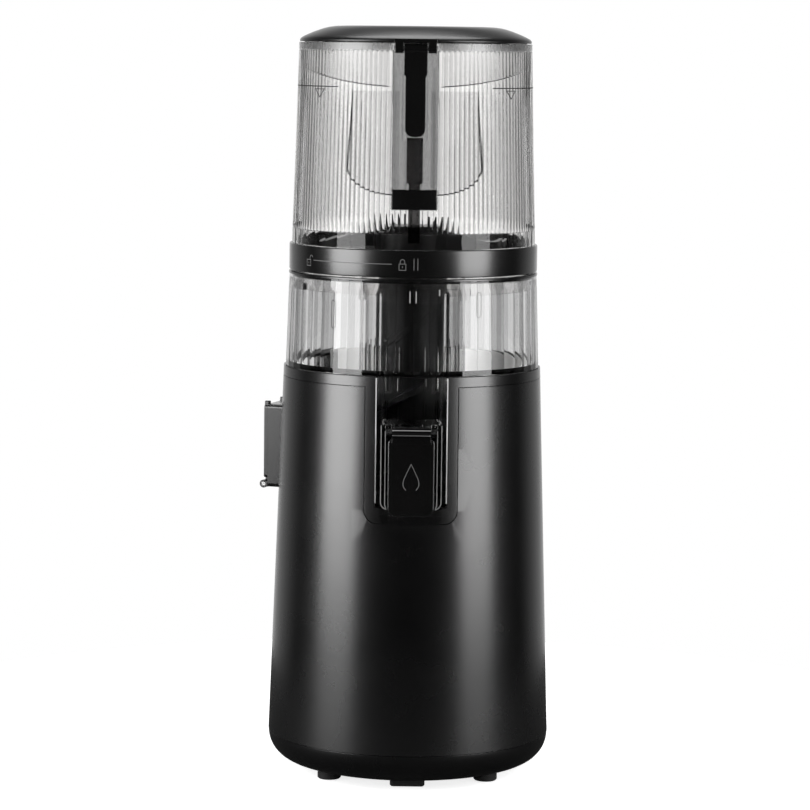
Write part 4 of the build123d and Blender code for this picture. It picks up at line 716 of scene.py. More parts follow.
@dataclass
class WalledShell:
    """A wall of two skins over a grid, closed round every opening.

    Attributes:
        across: Steps of the grid that run round the axis, which closes on itself.
        along: Steps of the grid that run up the wall.
        outer: Outer skin at (across, along), in metres.
        inner: Inner skin at (across, along), in metres.
        kept: Whether a cell of the grid is there.
        pole: Whether the first row is a single point.
        shade: Painted shade on the outer skin at (across, along), kept as the valley attribute.
    """

    across: Sequence[float]
    along: Sequence[float]
    outer: Surface
    inner: Surface
    kept: Callable[[float, float], bool] = lambda angle, level: True
    pole: bool = False
    shade: Callable[[float, float], float] = lambda angle, level: 0.0

    def draft(self) -> Draft:
        """Return the closed wall as a draft mesh."""
        made = bmesh.new()
        for name in ("outside", "valley"):
            made.verts.layers.float.new(name)
        columns, rows = len(self.across), len(self.along)
        out, inn = self._skin(made, self.outer, 1.0), self._skin(made, self.inner, 0.0)
        cells = {
            (i, j)
            for i in range(columns)
            for j in range(rows - 1)
            if self.kept(self._middle(i), (self.along[j] + self.along[j + 1]) / 2)
        }
        for i, j in cells:
            k, up = (i + 1) % columns, j + 1
            made.faces.new((out[i][j], out[k][j], out[k][up], out[i][up]))
            made.faces.new((inn[i][j], inn[i][up], inn[k][up], inn[k][j]))
            for beside, rim in (
                ((i, j - 1), (out[i][j], inn[i][j], inn[k][j], out[k][j])),
                ((i, up), (out[i][up], out[k][up], inn[k][up], inn[i][up])),
                (((i - 1) % columns, j), (out[i][j], out[i][up], inn[i][up], inn[i][j])),
                ((k, j), (out[k][j], inn[k][j], inn[k][up], out[k][up])),
            ):
                if beside not in cells and not (self.pole and beside[1] < 0):
                    made.faces.new(rim)
        loose = [vert for vert in made.verts if not vert.link_faces]
        bmesh.ops.delete(made, geom=loose, context="VERTS")
        return made

    def _skin(self, made: Draft, surface: Surface, mark: float) -> list[list[bmesh.types.BMVert]]:
        """Add one skin's grid of vertices.

        Args:
            made: The draft mesh that takes them.
            surface: The skin's surface.
            mark: Value of the outside attribute.

        Returns:
            The vertices, column by column.
        """
        side, dark = (made.verts.layers.float[name] for name in ("outside", "valley"))
        grid = []
        for angle in self.across:
            column = []
            for level in self.along:
                vert = made.verts.new(surface(angle, level))
                # The valley attribute takes the painted shade, on the outer skin only.
                vert[side], vert[dark] = mark, mark * self.shade(angle, level)
                column.append(vert)
            grid.append(column)
        return grid

    def _middle(self, column: int) -> float:
        """Return the angle in the middle of a column of cells."""
        first = self.across[column]
        second = self.across[(column + 1) % len(self.across)]
        if second < first:
            second += TAU
        return (first + second) / 2


# ------------------------------------------------------------------ drawn lines
def drum(radius: Callable[[float], float], level: float) -> Canvas:
    """Return a mapping from (across, up) onto a round wall, centred on the front.

    Args:
        radius: Gives the wall's radius at a height, in millimetres.
        level: Height of up = 0 in millimetres.

    Returns:
        A function of (across, up) that gives a point and the outward normal.
    """

    def place(across: float, up: float) -> tuple[Vector, Vector]:
        """Return the point and the normal at (across, up)."""
        wall = radius(level + up)
        angle = FRONT + across / wall
        return polar(wall, angle, level + up), Vector((math.cos(angle), math.sin(angle), 0))

    return place


def front_plane(y: float, level: float = 0.0) -> Canvas:
    """Return a mapping from (across, up) onto an upright plane that faces the front."""
    return lambda across, up: (mm(across, y, level + up), Vector((0, -1, 0)))


@dataclass(frozen=True)
class Pen:
    """Draws raised lines on a surface as thin closed ribbons.

    Attributes:
        width: Width of a line in millimetres.
        height: How far a line stands off the surface in millimetres.
    """

    width: float
    height: float

    def _section(
        self, draft: Draft, canvas: Canvas, before: Vector, here: Vector, after: Vector
    ) -> list[bmesh.types.BMVert]:
        """Add the four corners of a ribbon at a point of its line.

        Args:
            draft: The draft mesh that takes them.
            canvas: The surface that carries the line.
            before: The point before, which is the same point where a line starts.
            here: The point, (across, up).
            after: The point after, which is the same point where a line ends.

        Returns:
            The corners.
        """
        run_in, run_out = (here - before).normalized(), (after - here).normalized()
        if not run_in.length:
            run_in = run_out
        if not run_out.length:
            run_out = run_in
        run = (run_in + run_out).normalized()
        side = Vector((-run.y, run.x)) * (self.width / 2) / max(0.5, run.dot(run_in))
        corners = []
        for sign, lift in ((1, 0.0), (1, self.height), (-1, self.height), (-1, 0.0)):
            foot, normal = canvas(*(here + side * sign))
            corners.append(draft.verts.new(foot + normal * (lift * MM)))
        return corners

    def draw(self, lines: Iterable[Sequence[Point]], canvas: Canvas) -> Draft:
        """Return the ribbons as a draft mesh.

        Args:
            lines: Runs of (across, up) points in millimetres.
            canvas: Gives the point in metres and the normal at (across, up).

        Returns:
            The draft mesh.
        """
        draft = bmesh.new()
        for line in lines:
            points = [Vector(p) for p in line]
            closed = (points[0] - points[-1]).length < CLOSE
            if closed:
                points = points[:-1]
            before = (points[-1:] if closed else points[:1]) + points[:-1]
            after = points[1:] + (points[:1] if closed else points[-1:])
            near = zip(before, points, after)
            loft(draft, [self._section(draft, canvas, *three) for three in near], closed)
        return draft

    def seat(
        self, name: str, lines: Iterable[Sequence[Point]], canvas: Canvas, body: str, finish: Finish
    ) -> None:
        """Draw lines as a piece of their own.

        Args:
            name: Name of the piece.
            lines: Runs of (across, up) points in millimetres.
            canvas: The surface that carries them.
            body: Body that carries the piece.
            finish: Its finish.
        """
        seat(new_piece(name, self.draw(lines, canvas)), body, finish)


# -------------------------------------------------------------------- reed tree
@dataclass(frozen=True)
class ReedTree:
    """Node tree that cuts reeds into the outer skin of a round wall and paints shade into their
    valleys and onto the facets of the plain band below them.

    Attributes:
        reeds: Number of reeds round the wall.
        facets: Number of facets round the plain band under the reeds.
        depth: Depth of the reeds in millimetres.
        low: Height where the reeds start, in millimetres.
        high: Height where they end.
        fade: Length over which their ends round off.
        band_facet_painted_shade: Strongest painted shade on a facet, as a share.
        seed: Seed of the painted shade on the facets.
    """

    reeds: int
    facets: int
    depth: float
    low: float
    high: float
    fade: float
    band_facet_painted_shade: float = 0.8
    seed: int = 3

    def build(self, material: bpy.types.Material) -> bpy.types.GeometryNodeTree:
        """Return the tree, which ends by realizing and dressing the mesh.

        Args:
            material: Material that the mesh wears.

        Returns:
            The node tree.
        """
        tree = bpy.data.node_groups.new("reeded_wall", "GeometryNodeTree")
        sizes = {"Reed Count": float(self.reeds), "Facet Count": float(self.facets)}
        lengths = {"Reed Depth": self.depth, "Low": self.low, "High": self.high}
        sizes |= {name: MM * length for name, length in {**lengths, "Fade": self.fade}.items()}
        add = tree.interface.new_socket
        add("Geometry", in_out="INPUT", socket_type="NodeSocketGeometry")
        for name, value in sizes.items():
            add(name, in_out="INPUT", socket_type="NodeSocketFloat").default_value = value
        add("Material", in_out="INPUT", socket_type="NodeSocketMaterial").default_value = material
        add("Geometry", in_out="OUTPUT", socket_type="NodeSocketGeometry")
        net = NodeNet(tree)
        given = net.node("NodeGroupInput").outputs
        position = net.node("GeometryNodeInputPosition").outputs[0]
        x, y, z = net.node("ShaderNodeSeparateXYZ", {0: position}).outputs
        angle = net.maths("ARCTAN2", y, x)
        valley = self._valley(net, angle, z, given)
        outside = net.node(
            "GeometryNodeInputNamedAttribute", {"Name": "outside"}, data_type="FLOAT"
        ).outputs["Attribute"]
        depth = net.maths("MULTIPLY", net.maths("MULTIPLY", valley, given["Reed Depth"]), outside)
        flat = net.node("ShaderNodeCombineXYZ", {0: x, 1: y}).outputs[0]
        outward = net.node("ShaderNodeVectorMath", {0: flat}, operation="NORMALIZE").outputs[0]
        inward = {0: outward, "Scale": net.maths("MULTIPLY", depth, -1.0)}
        push = net.node("ShaderNodeVectorMath", inward, operation="SCALE").outputs[0]
        # Painted shade: dark lines in the reeds' valleys and a random dark tone on each band facet,
        # stored as the valley attribute that the clear material darkens by.
        dark = net.maths("POWER", valley, 3.0)
        dark = net.maths("ADD", dark, self._painted_band_facet_shade(net, angle, z, given))
        marks = {"Name": "valley", "Value": net.maths("MULTIPLY", dark, outside)}
        kept = net.node(
            "GeometryNodeStoreNamedAttribute",
            {"Geometry": given["Geometry"], **marks},
            data_type="FLOAT",
            domain="POINT",
        ).outputs[0]
        moved = net.node("GeometryNodeSetPosition", {"Geometry": kept, "Offset": push}).outputs[0]
        real = net.node("GeometryNodeRealizeInstances", {0: moved}).outputs[0]
        wear = {"Geometry": real, "Material": given["Material"]}
        dressed = net.node("GeometryNodeSetMaterial", wear).outputs[0]
        net.node("NodeGroupOutput", {0: dressed})
        return tree

    def _valley(
        self, net: NodeNet, angle: Socket, z: Socket, given: bpy.types.NodeOutputs
    ) -> Socket:
        """Return how deep in a valley between reeds a point is, from 0 to 1.

        Args:
            net: The tree's net.
            angle: Angle of the point round the axis.
            z: Height of the point.
            given: The tree's inputs.

        Returns:
            The depth, faded out at the reeds' ends.
        """
        maths = net.maths
        half = maths("MULTIPLY", maths("MULTIPLY", angle, given["Reed Count"]), 0.5)
        valley = maths("SUBTRACT", 1.0, maths("ABSOLUTE", maths("COSINE", half)))
        above = maths("DIVIDE", maths("SUBTRACT", z, given["Low"]), given["Fade"], True)
        below = maths("DIVIDE", maths("SUBTRACT", given["High"], z), given["Fade"], True)
        return maths("MULTIPLY", valley, maths("SQRT", maths("MINIMUM", above, below)))

    def _painted_band_facet_shade(
        self, net: NodeNet, angle: Socket, z: Socket, given: bpy.types.NodeOutputs
    ) -> Socket:
        """Return the painted shade of the facet at a point of the plain band.

        Args:
            net: The tree's net.
            angle: Angle of the point round the axis.
            z: Height of the point.
            given: The tree's inputs.

        Returns:
            The painted shade, zero above the band.
        """
        maths = net.maths
        place = maths("DIVIDE", maths("MULTIPLY", angle, given["Facet Count"]), TAU)
        number = maths("ADD", maths("FLOOR", place), 100.0)
        chance = net.node(
            "FunctionNodeRandomValue", {"Seed": self.seed, "ID": number}, data_type="FLOAT"
        ).outputs[1]
        band = maths("LESS_THAN", z, maths("ADD", given["Low"], 0.2 * MM))
        tone = maths("MULTIPLY", band, self.band_facet_painted_shade)
        return maths("MULTIPLY", maths("POWER", chance, 2.0), tone)


def settle(
    piece: bpy.types.Object, tree: bpy.types.GeometryNodeTree, smooth_angle: float
) -> None:
    """Run a node tree on a piece, keep its result as a plain mesh and drop the modifier.

    Args:
        piece: The piece that the tree works on.
        tree: The tree, with its values as the inputs' defaults.
        smooth_angle: Corners above this many degrees stay sharp.
    """
    modifier = piece.modifiers.new("shape", "NODES")
    modifier.node_group = tree
    for socket in tree.interface.items_tree:
        if socket.in_out == "INPUT" and socket.socket_type != "NodeSocketGeometry":
            modifier[socket.identifier] = socket.default_value
    graph = bpy.context.evaluated_depsgraph_get()
    result = bpy.data.meshes.new_from_object(piece.evaluated_get(graph))
    piece.modifiers.remove(modifier)
    piece.data = result
    result.shade_smooth()
    result.set_sharp_from_angle(angle=math.radians(smooth_angle))


# ---------------------------------------------------------------- sub-assemblies
@dataclass
class Hopper:
    """Reeded see-through hopper with its ring, funnel, guard, marks and painted shade."""

    foot_z: float = 340.0
    band_z: float = 349.5
    top_z: float = 462.7
    base_r: float = 77.5
    top_r: float = 74.1
    wall: float = 2.7
    mouth_r: float = 73.9
    facets: int = 48
    facet_step: float = 0.15
    reeds: int = 144
    reed_steps: int = 8
    reed_depth: float = 0.32
    reed_fade: float = 4.0
    end_rises: tuple[float, ...] = (0.4, 0.9, 1.6, 2.4, 3.2, 4.0)
    end_falls: tuple[float, ...] = (1.2, 0.6, 0.25, 0.06)
    window_half: float = 14.0
    window_z: float = 364.55
    gap: float = 0.06
    ring_r: float = 79.3
    ring_base_z: float = 323.0
    ring_wall: float = 2.2
    ring_foot: tuple[Point, ...] = ((0.8, 0.0), (0.35, 0.12), (0.08, 0.4), (0.0, 0.9))
    ring_brow: tuple[Point, ...] = ((0.0, 1.0), (0.1, 0.45), (0.45, 0.12), (0.9, 0.02))
    sign_rise: float = 8.4
    mark_z: float = 439.7
    mark_start: float = 52.0
    mark_step: float = 2.4
    pointer_at: float = 69.0
    guard_front_y: float = -60.5
    guard_wall: float = 2.0
    guard_slack: float = 0.4
    guard_low_z: float = 373.0
    guard_high_z: float = 437.5
    guard_bend_z: float = 389.5
    guard_foot_half: float = 13.8
    guard_tab: float = 15.0
    spacer_near: float = 9.5
    spacer_far: float = 12.5
    spacer_low_z: float = 377.2
    channel_back_y: float = -67.0

    def outer_radius(self, z: float) -> float:
        """Return the radius over the reeds at a height."""
        share = (z - self.band_z) / (self.top_z - self.band_z)
        return self.base_r - (self.base_r - self.top_r) * share

    def _outer(self, angle: float, z: float) -> Vector:
        """Return a point of the outer skin before the reeds are cut."""
        if z >= self.band_z:
            return polar(self.outer_radius(z), angle, z)
        pitch = TAU / self.facets
        off = (angle + TAU) % pitch - pitch / 2
        return polar((self.base_r + self.facet_step) / math.cos(off), angle, z)

    def _inner(self, angle: float, z: float) -> Vector:
        """Return a point of the inner skin."""
        if z >= self.band_z:
            return polar(self.outer_radius(z) - self.wall, angle, z)
        share = (z - self.foot_z) / (self.band_z - self.foot_z)
        widening = self.base_r - self.wall - self.mouth_r
        return polar(self.mouth_r + widening * share, angle, z)

    def _kept(self, angle: float, z: float) -> bool:
        """Return False inside the window for the front channel."""
        half = math.asin(self.window_half / self.outer_radius(z))
        return z < self.window_z or apart(angle, FRONT) > half

    def shell(self) -> None:
        """Build the reeded wall, with painted shade in the reeds' valleys and on the band's facets.
        """
        count = self.reeds * self.reed_steps
        across = [TAU / count * k for k in range(count)]
        along = [self.foot_z + self.gap, self.band_z - 0.01, self.band_z]
        along += [self.band_z + rise for rise in self.end_rises]
        along += [self.window_z, 400.0, 430.0]
        along += [self.top_z - fall for fall in self.end_falls]
        wall = WalledShell(across, along, self._outer, self._inner, self._kept)
        piece = new_piece("hopper_wall", wall.draft(), 4.0)
        ends = (self.band_z, self.top_z, self.reed_fade)
        tree = ReedTree(self.reeds, self.facets, self.reed_depth, *ends)
        settle(piece, tree.build(Finish.HOPPER.material()), 20.0)
        seat(piece, "hopper_unit", Finish.HOPPER, ["hopper"])

    def ring(self) -> None:
        """Build the twist ring with rounded edges."""
        low, high, out = self.ring_base_z, self.foot_z, self.ring_r
        inside = out - self.ring_wall
        profile = [(inside, low)]
        profile += [(out - inset, low + rise) for inset, rise in self.ring_foot]
        profile += [(out - inset, high - fall) for inset, fall in self.ring_brow]
        profile += [(inside, high - self.ring_brow[-1][1])]
        seat(turned("twist_ring", profile, 320), "hopper_unit", Finish.SATIN, ["hopper_ring"])

    @staticmethod
    def _padlock(centre: float, open_bow: bool) -> list[list[Point]]:
        """Return the strokes of a padlock at a place across the ring."""
        half, low, high, bow_r, bow_z = 2.1, -3.6, 0.2, 1.4, 1.6
        body = [(-half, low), (half, low), (half, high), (-half, high), (-half, low)]
        bow = [(-bow_r, high), (-bow_r, bow_z), *arc(0, bow_z, bow_r, 180, 0), (bow_r, high)]
        if open_bow:
            bow = [(x + 2 * bow_r, y) for x, y in bow[:-1]]
        keyhole = [(0, -2.2), (0, -1.2)]
        return [[(centre + x, y) for x, y in run] for run in (body, bow, keyhole)]

    def ring_marks(self) -> None:
        """Draw the open and closed locks, the line between them and the pointer."""
        lines = [[(-72.0 + 2.25 * k, 0.0) for k in range(27)]]
        lines += self._padlock(-77.0, True) + self._padlock(-6.8, False)
        lines += [[(x, -3.6), (x, 3.6)] for x in (0.3, 2.7)]
        canvas = drum(lambda z: self.ring_r, self.ring_base_z + self.sign_rise)
        Pen(0.45, 0.05).seat("ring_marks", lines, canvas, "hopper_unit", Finish.PRINT)

    def level_marks(self) -> None:
        """Draw the fill line with its pointer on both flanks of the wall."""
        canvas = drum(lambda z: self.outer_radius(z) + 0.02, self.mark_z)
        lines = []
        for side in (-1, 1):
            lines.append([(side * (self.mark_start + self.mark_step * k), 0.0) for k in range(28)])
            tip = side * self.pointer_at
            near, far = (tip - 4.6, -1.7), (tip + 4.6, -1.7)
            lines.append([near, far, (tip, -6.6), near])
        Pen(0.6, 0.06).seat("level_marks", lines, canvas, "hopper_unit", Finish.INK_AND_EDGE_SHADE)

    def _guard_half(self, z: float) -> float:
        """Return half the chord of the hopper's inside at the guard's front face."""
        inner = self.outer_radius(z) - self.wall
        return math.sqrt(inner**2 - self.guard_front_y**2) - self.guard_slack

    def guard(self) -> None:
        """Build the clear guard behind the channel, rounded at its lower corners, and draw a dark
        line of painted shade along its outline.
        """
        foot, high = self.guard_foot_half, self.guard_high_z
        across = self._guard_half(self.guard_bend_z) - foot
        drop = self.guard_bend_z - self.guard_low_z
        round_off = arc(0, 0, 1, -90, 0, 14)
        bend = [(foot + x * across, self.guard_bend_z + y * drop) for x, y in round_off]
        right = bend + [(self._guard_half(z), z) for z in (400.0, 418.0, high)]
        outline = right + [(self.guard_tab, high), (self.guard_tab, self.top_z - 1.0)]
        outline += mirrored(outline)
        draft = prism(outline, self.guard_front_y + self.guard_wall, self.guard_front_y)
        near, far, low = self.spacer_near, self.spacer_far, self.spacer_low_z
        for end in (-1, 1):
            spacer = [(end * x, z) for x, z in ((near, low), (far, low), (far, high), (near, high))]
            join(draft, prism(spacer, self.guard_front_y - 0.08, self.channel_back_y + 0.08))
        piece = new_piece("splash_guard", draft, SMOOTH)
        seat(piece, "hopper_unit", Finish.INNER, ["guard_panel"])
        # Painted shade: a dark line along the guard's outline, where the clear edge reads dark.
        line = [(x - 0.5, z + 0.4) for x, z in right]
        canvas = front_plane(self.guard_front_y - 0.02)
        lines = [mirrored(line) + line]
        Pen(0.8, 0.08).seat("guard_painted_edge_shade", lines, canvas, "hopper_unit", Finish.INK_AND_EDGE_SHADE)

    def build(self) -> None:
        """Build and dress the whole hopper."""
        self.shell()
        self.ring()
        self.ring_marks()
        self.level_marks()
        self.guard()
        rows = (
            ("hopper_funnel_wall", "hopper_funnel", Finish.HOPPER),
            ("hopper_mouth_rim", "hopper_rim", Finish.RIM),
            ("latch_channel", "front_channel", Finish.CHANNEL),
            ("interlock_block", "interlock_housing", Finish.SATIN),
            ("hopper_hinge_pin", "lid_hinge_pin", Finish.STEEL),
        )
        mouldings("hopper_unit", rows)
        moulding("interlock_slider", "interlock_rod", "rod", Finish.ROD)


@dataclass
class Bowl:
    """Faceted see-through bowl with its rim, strainer, pulp spout, marks, painted shade on its
    facets and a pale band of painted light inside.
    """

    seat_z: float = 262.0
    top_z: float = 316.0
    base_r: float = 81.2
    draft: float = 1.7
    inner_r: float = 73.7
    bore_r: float = 77.1
    facets: int = 48
    facet_shares: tuple[float, ...] = (0.0, 0.035, 0.09, 0.3, 0.5, 0.7, 0.91, 0.965)
    # Strongest painted shade on a facet.
    facet_painted_shade: float = 0.8
    arch: float = 8.0
    arch_end: float = 2.0
    gap: float = 0.05
    wall_top_z: float = 320.55
    rim_top_z: float = 322.0
    rim_r: float = 79.5
    lip_r: float = 74.9
    lip_z: float = 319.2
    notch_start: float = 70.0
    notch_half: float = 8.9
    band_z: float = 240.0
    band_open: float = 36.0
    pulp_open: float = 26.0
    pointer_z: float = 311.0
    boss_z: float = 285.0
    boss_half: float = 1.5

    def apothem(self, z: float) -> float:
        """Return the distance of a facet's flat from the axis at a height."""
        return self.base_r - self.draft * (z - self.seat_z) / (self.top_z - self.seat_z)

    def corner_radius(self, z: float) -> float:
        """Return the distance of a facet's corner from the axis at a height."""
        return self.apothem(z) / math.cos(math.pi / self.facets)

    def _outer(self, angle: float, z: float) -> Vector:
        """Return a point of the faceted outer skin, arched at the facets' tops."""
        pitch = TAU / self.facets
        off = (angle + TAU) % pitch - pitch / 2
        radius = self.apothem(z) / math.cos(off)
        start = self.wall_top_z - self.arch
        if z > start:
            low, high = self.corner_radius(start), self.apothem(self.wall_top_z)
            share = min(1.0, (z - start) / (self.arch - self.arch_end))
            radius = min(radius, low + (high - low) * share)
        return polar(radius, angle, z)

    def _inner(self, angle: float, z: float) -> Vector:
        """Return a point of the round inner skin."""
        rise = min(1.0, max(0.0, (z - self.seat_z + 2) / 5.0))
        return polar(self.inner_r + (self.bore_r - self.inner_r) * rise, angle, z)

    def _painted_facet_shade(self, angle: float, z: float) -> float:
        """Return the painted shade of the wall: thin dark lines at the corners, a dark tone for
        each facet.
        """
        place = (angle + TAU) / (TAU / self.facets)
        if abs(place - round(place)) < 0.01:
            return 1.0
        return self.facet_painted_shade * (int(place) % self.facets * 37 % 11 / 10) ** 1.5

    def skirt(self) -> None:
        """Build the faceted wall above the body's top edge, with painted shade on its facets."""
        pitch = TAU / self.facets
        across = [pitch * (k + share) for k in range(self.facets) for share in self.facet_shares]
        along = [self.seat_z + self.gap, self.seat_z + 1.5, self.seat_z + 3.0, 280.0, 295.0]
        falls = [self.arch - 0.7 * k for k in range(9)] + [self.arch_end, 1.0, 0.0]
        along += [self.wall_top_z - fall for fall in falls]
        wall = WalledShell(across, along, self._outer, self._inner, shade=self._painted_facet_shade)
        seat(new_piece("bowl_facets", wall.draft(), 3.0), "bowl", Finish.BOWL)

    def pot(self) -> None:
        """Dress the bowl's lower part, which stands in the body."""
        draft = merged("chamber")
        rims = trimmed(draft, mm(0, 0, self.seat_z - self.gap), Vector((0, 0, 1)))
        bmesh.ops.bridge_loops(draft, edges=rims)
        seat(finished("bowl_pot", draft), "bowl", Finish.BOWL, ["chamber"])

    def rim(self) -> None:
        """Build the black rim, thin outside and with its notched lip inside the wall."""
        inside, wall_top, top = self.bore_r - 0.2, self.wall_top_z, self.rim_top_z
        outer = [(inside, self.lip_z), (inside, wall_top + 0.04)]
        outer += [(self.rim_r - 0.05, wall_top + 0.05), (self.rim_r, top - 0.5)]
        outer += [(self.rim_r - 0.15, top - 0.15), (self.rim_r - 0.5, top)]
        heights = [self.lip_z, wall_top, wall_top + 0.2, top - 0.5, top - 0.1, top]

        def out(angle: float, index: float) -> Vector:
            """Return a point of the rim's outer line."""
            radius, z = outer[int(index)]
            return polar(radius, angle, z)

        def inn(angle: float, index: float) -> Vector:
            """Return a point of the rim's inner line, set back in the notches."""
            turn = (math.degrees(angle) - self.notch_start + 45) % 90 - 45
            radius = self.bore_r - 0.6 if abs(turn) < self.notch_half else self.lip_r
            return polar(radius, angle, heights[int(index)])

        across = [TAU * k / 720 for k in range(720)]
        wall = WalledShell(across, range(len(outer)), out, inn)
        seat(new_piece("bowl_rim", wall.draft()), "bowl", Finish.SATIN, ["chamber_rim"])

    def marks(self) -> None:
        """Draw the pointer on the wall and dark outlines of painted shade round the pill-shaped
        bosses inside it.
        """
        front = drum(lambda z: self.corner_radius(z) + 0.02, self.pointer_z)
        pointer = [[(x, -3.4), (x, 3.8)] for x in (-1.9, 1.9)]
        Pen(0.5, 0.08).seat("bowl_pointer", pointer, front, "bowl", Finish.PALE)
        # Painted shade: dark outlines where the clear bosses' edges read dark.
        inside = drum(lambda z: self.bore_r - 0.12, self.boss_z)
        pills = []
        half = self.boss_half
        for across, low, high in ((-52.5, 5.0, 22.4), (42.5, 13.1, 28.7)):
            bulb = arc(across, high - half, half, 180, 0, 6)
            bulb += arc(across, low + half, half, 0, -180, 6)
            pills.append(bulb + bulb[:1])
        Pen(0.5, 0.1).seat("bowl_boss_painted_outlines", pills, inside, "bowl", Finish.EDGE)

    def band(self) -> None:
        """Build the pale band of painted light that lines the bowl at the body's top edge, open at
        both spouts; it is a guessed lining whose pale colour stands in for light seen through the
        bowl.
        """

        def skin(radius: float) -> Surface:
            """Return a round surface of one radius."""
            return lambda angle, z: polar(radius, angle, z)

        def kept(angle: float, z: float) -> bool:
            """Return False behind the two spouts."""
            pulp = FRONT + math.radians(PULP_AZIMUTH)
            spouts = ((FRONT, self.band_open), (pulp, self.pulp_open))
            return all(math.degrees(apart(angle, centre)) > half for centre, half in spouts)

        # Painted light: a guessed lining whose pale colour stands in for the light seen through the
        # bowl there.
        across = [TAU * k / 180 for k in range(180)]
        along = [self.band_z, self.seat_z - 6.0, self.seat_z + 2.0]
        wall = WalledShell(across, along, skin(self.inner_r - 0.05), skin(self.inner_r - 0.6), kept)
        seat(new_piece("bowl_painted_light_band", wall.draft()), "bowl", Finish.PAINTED_LIGHT)

    def build(self) -> None:
        """Build and dress the bowl and what it carries."""
        self.skirt()
        self.pot()
        self.rim()
        self.marks()
        rows = (
            ("strainer_foot", "strainer_seat", Finish.INNER),
            ("strainer_drum", "strainer", Finish.SIEVE),
            ("bowl_floor_seal", "floor_seal", Finish.SILICONE),
            ("pulp_chute", "pulp_spout", Finish.SATIN),
            ("pulp_hinge_ears", "pulp_ears", Finish.SATIN),
            ("pulp_hinge_pin", "pulp_cap_pin", Finish.STEEL),
        )
        mouldings("bowl", rows)
        moulding("pulp_flap_plate", "pulp_cap", "pulp_flap", Finish.SATIN)
        self.band()


@dataclass
class JuiceSpout:
    """Juice spout with its hinge and flap, and painted highlights on the spout's edges and the
    hinge.
    """

    face_y: float = -104.01
    flap_y: float = -107.9
    barrel_y: float = -108.0
    barrel_z: float = 231.2
    barrel_r: float = 3.0
    drop_z: float = 201.5

    def _barrel(self, across: float, up: float) -> tuple[Vector, Vector]:
        """Return the point and the normal on the hinge barrel, up along its girth."""
        turn = up / self.barrel_r
        out = Vector((0, -math.cos(turn), math.sin(turn)))
        return mm(across, self.barrel_y, self.barrel_z) + out * (self.barrel_r * MM), out

    def edges(self) -> None:
        """Draw pale lines of painted highlight along the edges of the spout's frame and on the
        flap's hinge.
        """
        # Painted highlight: pale lines where the clear edges and the hinge barrel catch light.
        outer = [(18.6, 234.4), (18.6, 187.0)] + arc(14.1, 187.0, 4.5, 0, -80, 8)
        inner = [(16.0, 231.0), (16.0, 185.0), (15.2, 183.2)]
        runs = [[(side * x, z) for x, z in run] for run in (outer, inner) for side in (-1, 1)]
        face = front_plane(self.face_y)
        Pen(0.55, 0.05).seat("juice_spout_painted_highlights", runs, face, "bowl", Finish.PAINTED_HIGHLIGHT)
        hinge_highlights = [[(-11.8, up), (11.8, up)] for up in (0.9, -2.7)]
        hinge_highlights += [[(x, -2.4), (x, 0.6)] for x in (-11.2, 11.2)]
        Pen(0.5, 0.05).seat("flap_hinge_painted_highlights", hinge_highlights, self._barrel, "juice_flap", Finish.PAINTED_HIGHLIGHT)

    def drop(self) -> None:
        """Draw the outline of a drop on the flap."""
        left = [(0, 9.6), (-2.2, 5.0), (-4.3, 0.4), *arc(0, -2.6, 4.9, 165, 232, 6)]
        right = [(-x, y) for x, y in left]
        face = front_plane(self.flap_y, self.drop_z)
        Pen(0.42, 0.06).seat("flap_drop", [left, right], face, "juice_flap", Finish.PRINT)

    def build(self) -> None:
        """Build and dress the spout and its flap."""
        rows = (
            ("juice_spout_frame", "juice_spout", Finish.FRAME),
            ("juice_spout_ears", "spout_ears", Finish.FRAME),
            ("juice_hinge_pin", "juice_cap_pin", Finish.STEEL),
        )
        mouldings("bowl", rows)
        moulding("juice_flap_plate", "juice_cap", "juice_flap", Finish.SATIN)
        moulding("juice_flap_seal", "juice_cap_seal", "juice_flap", Finish.SILICONE)
        self.edges()
        self.drop()


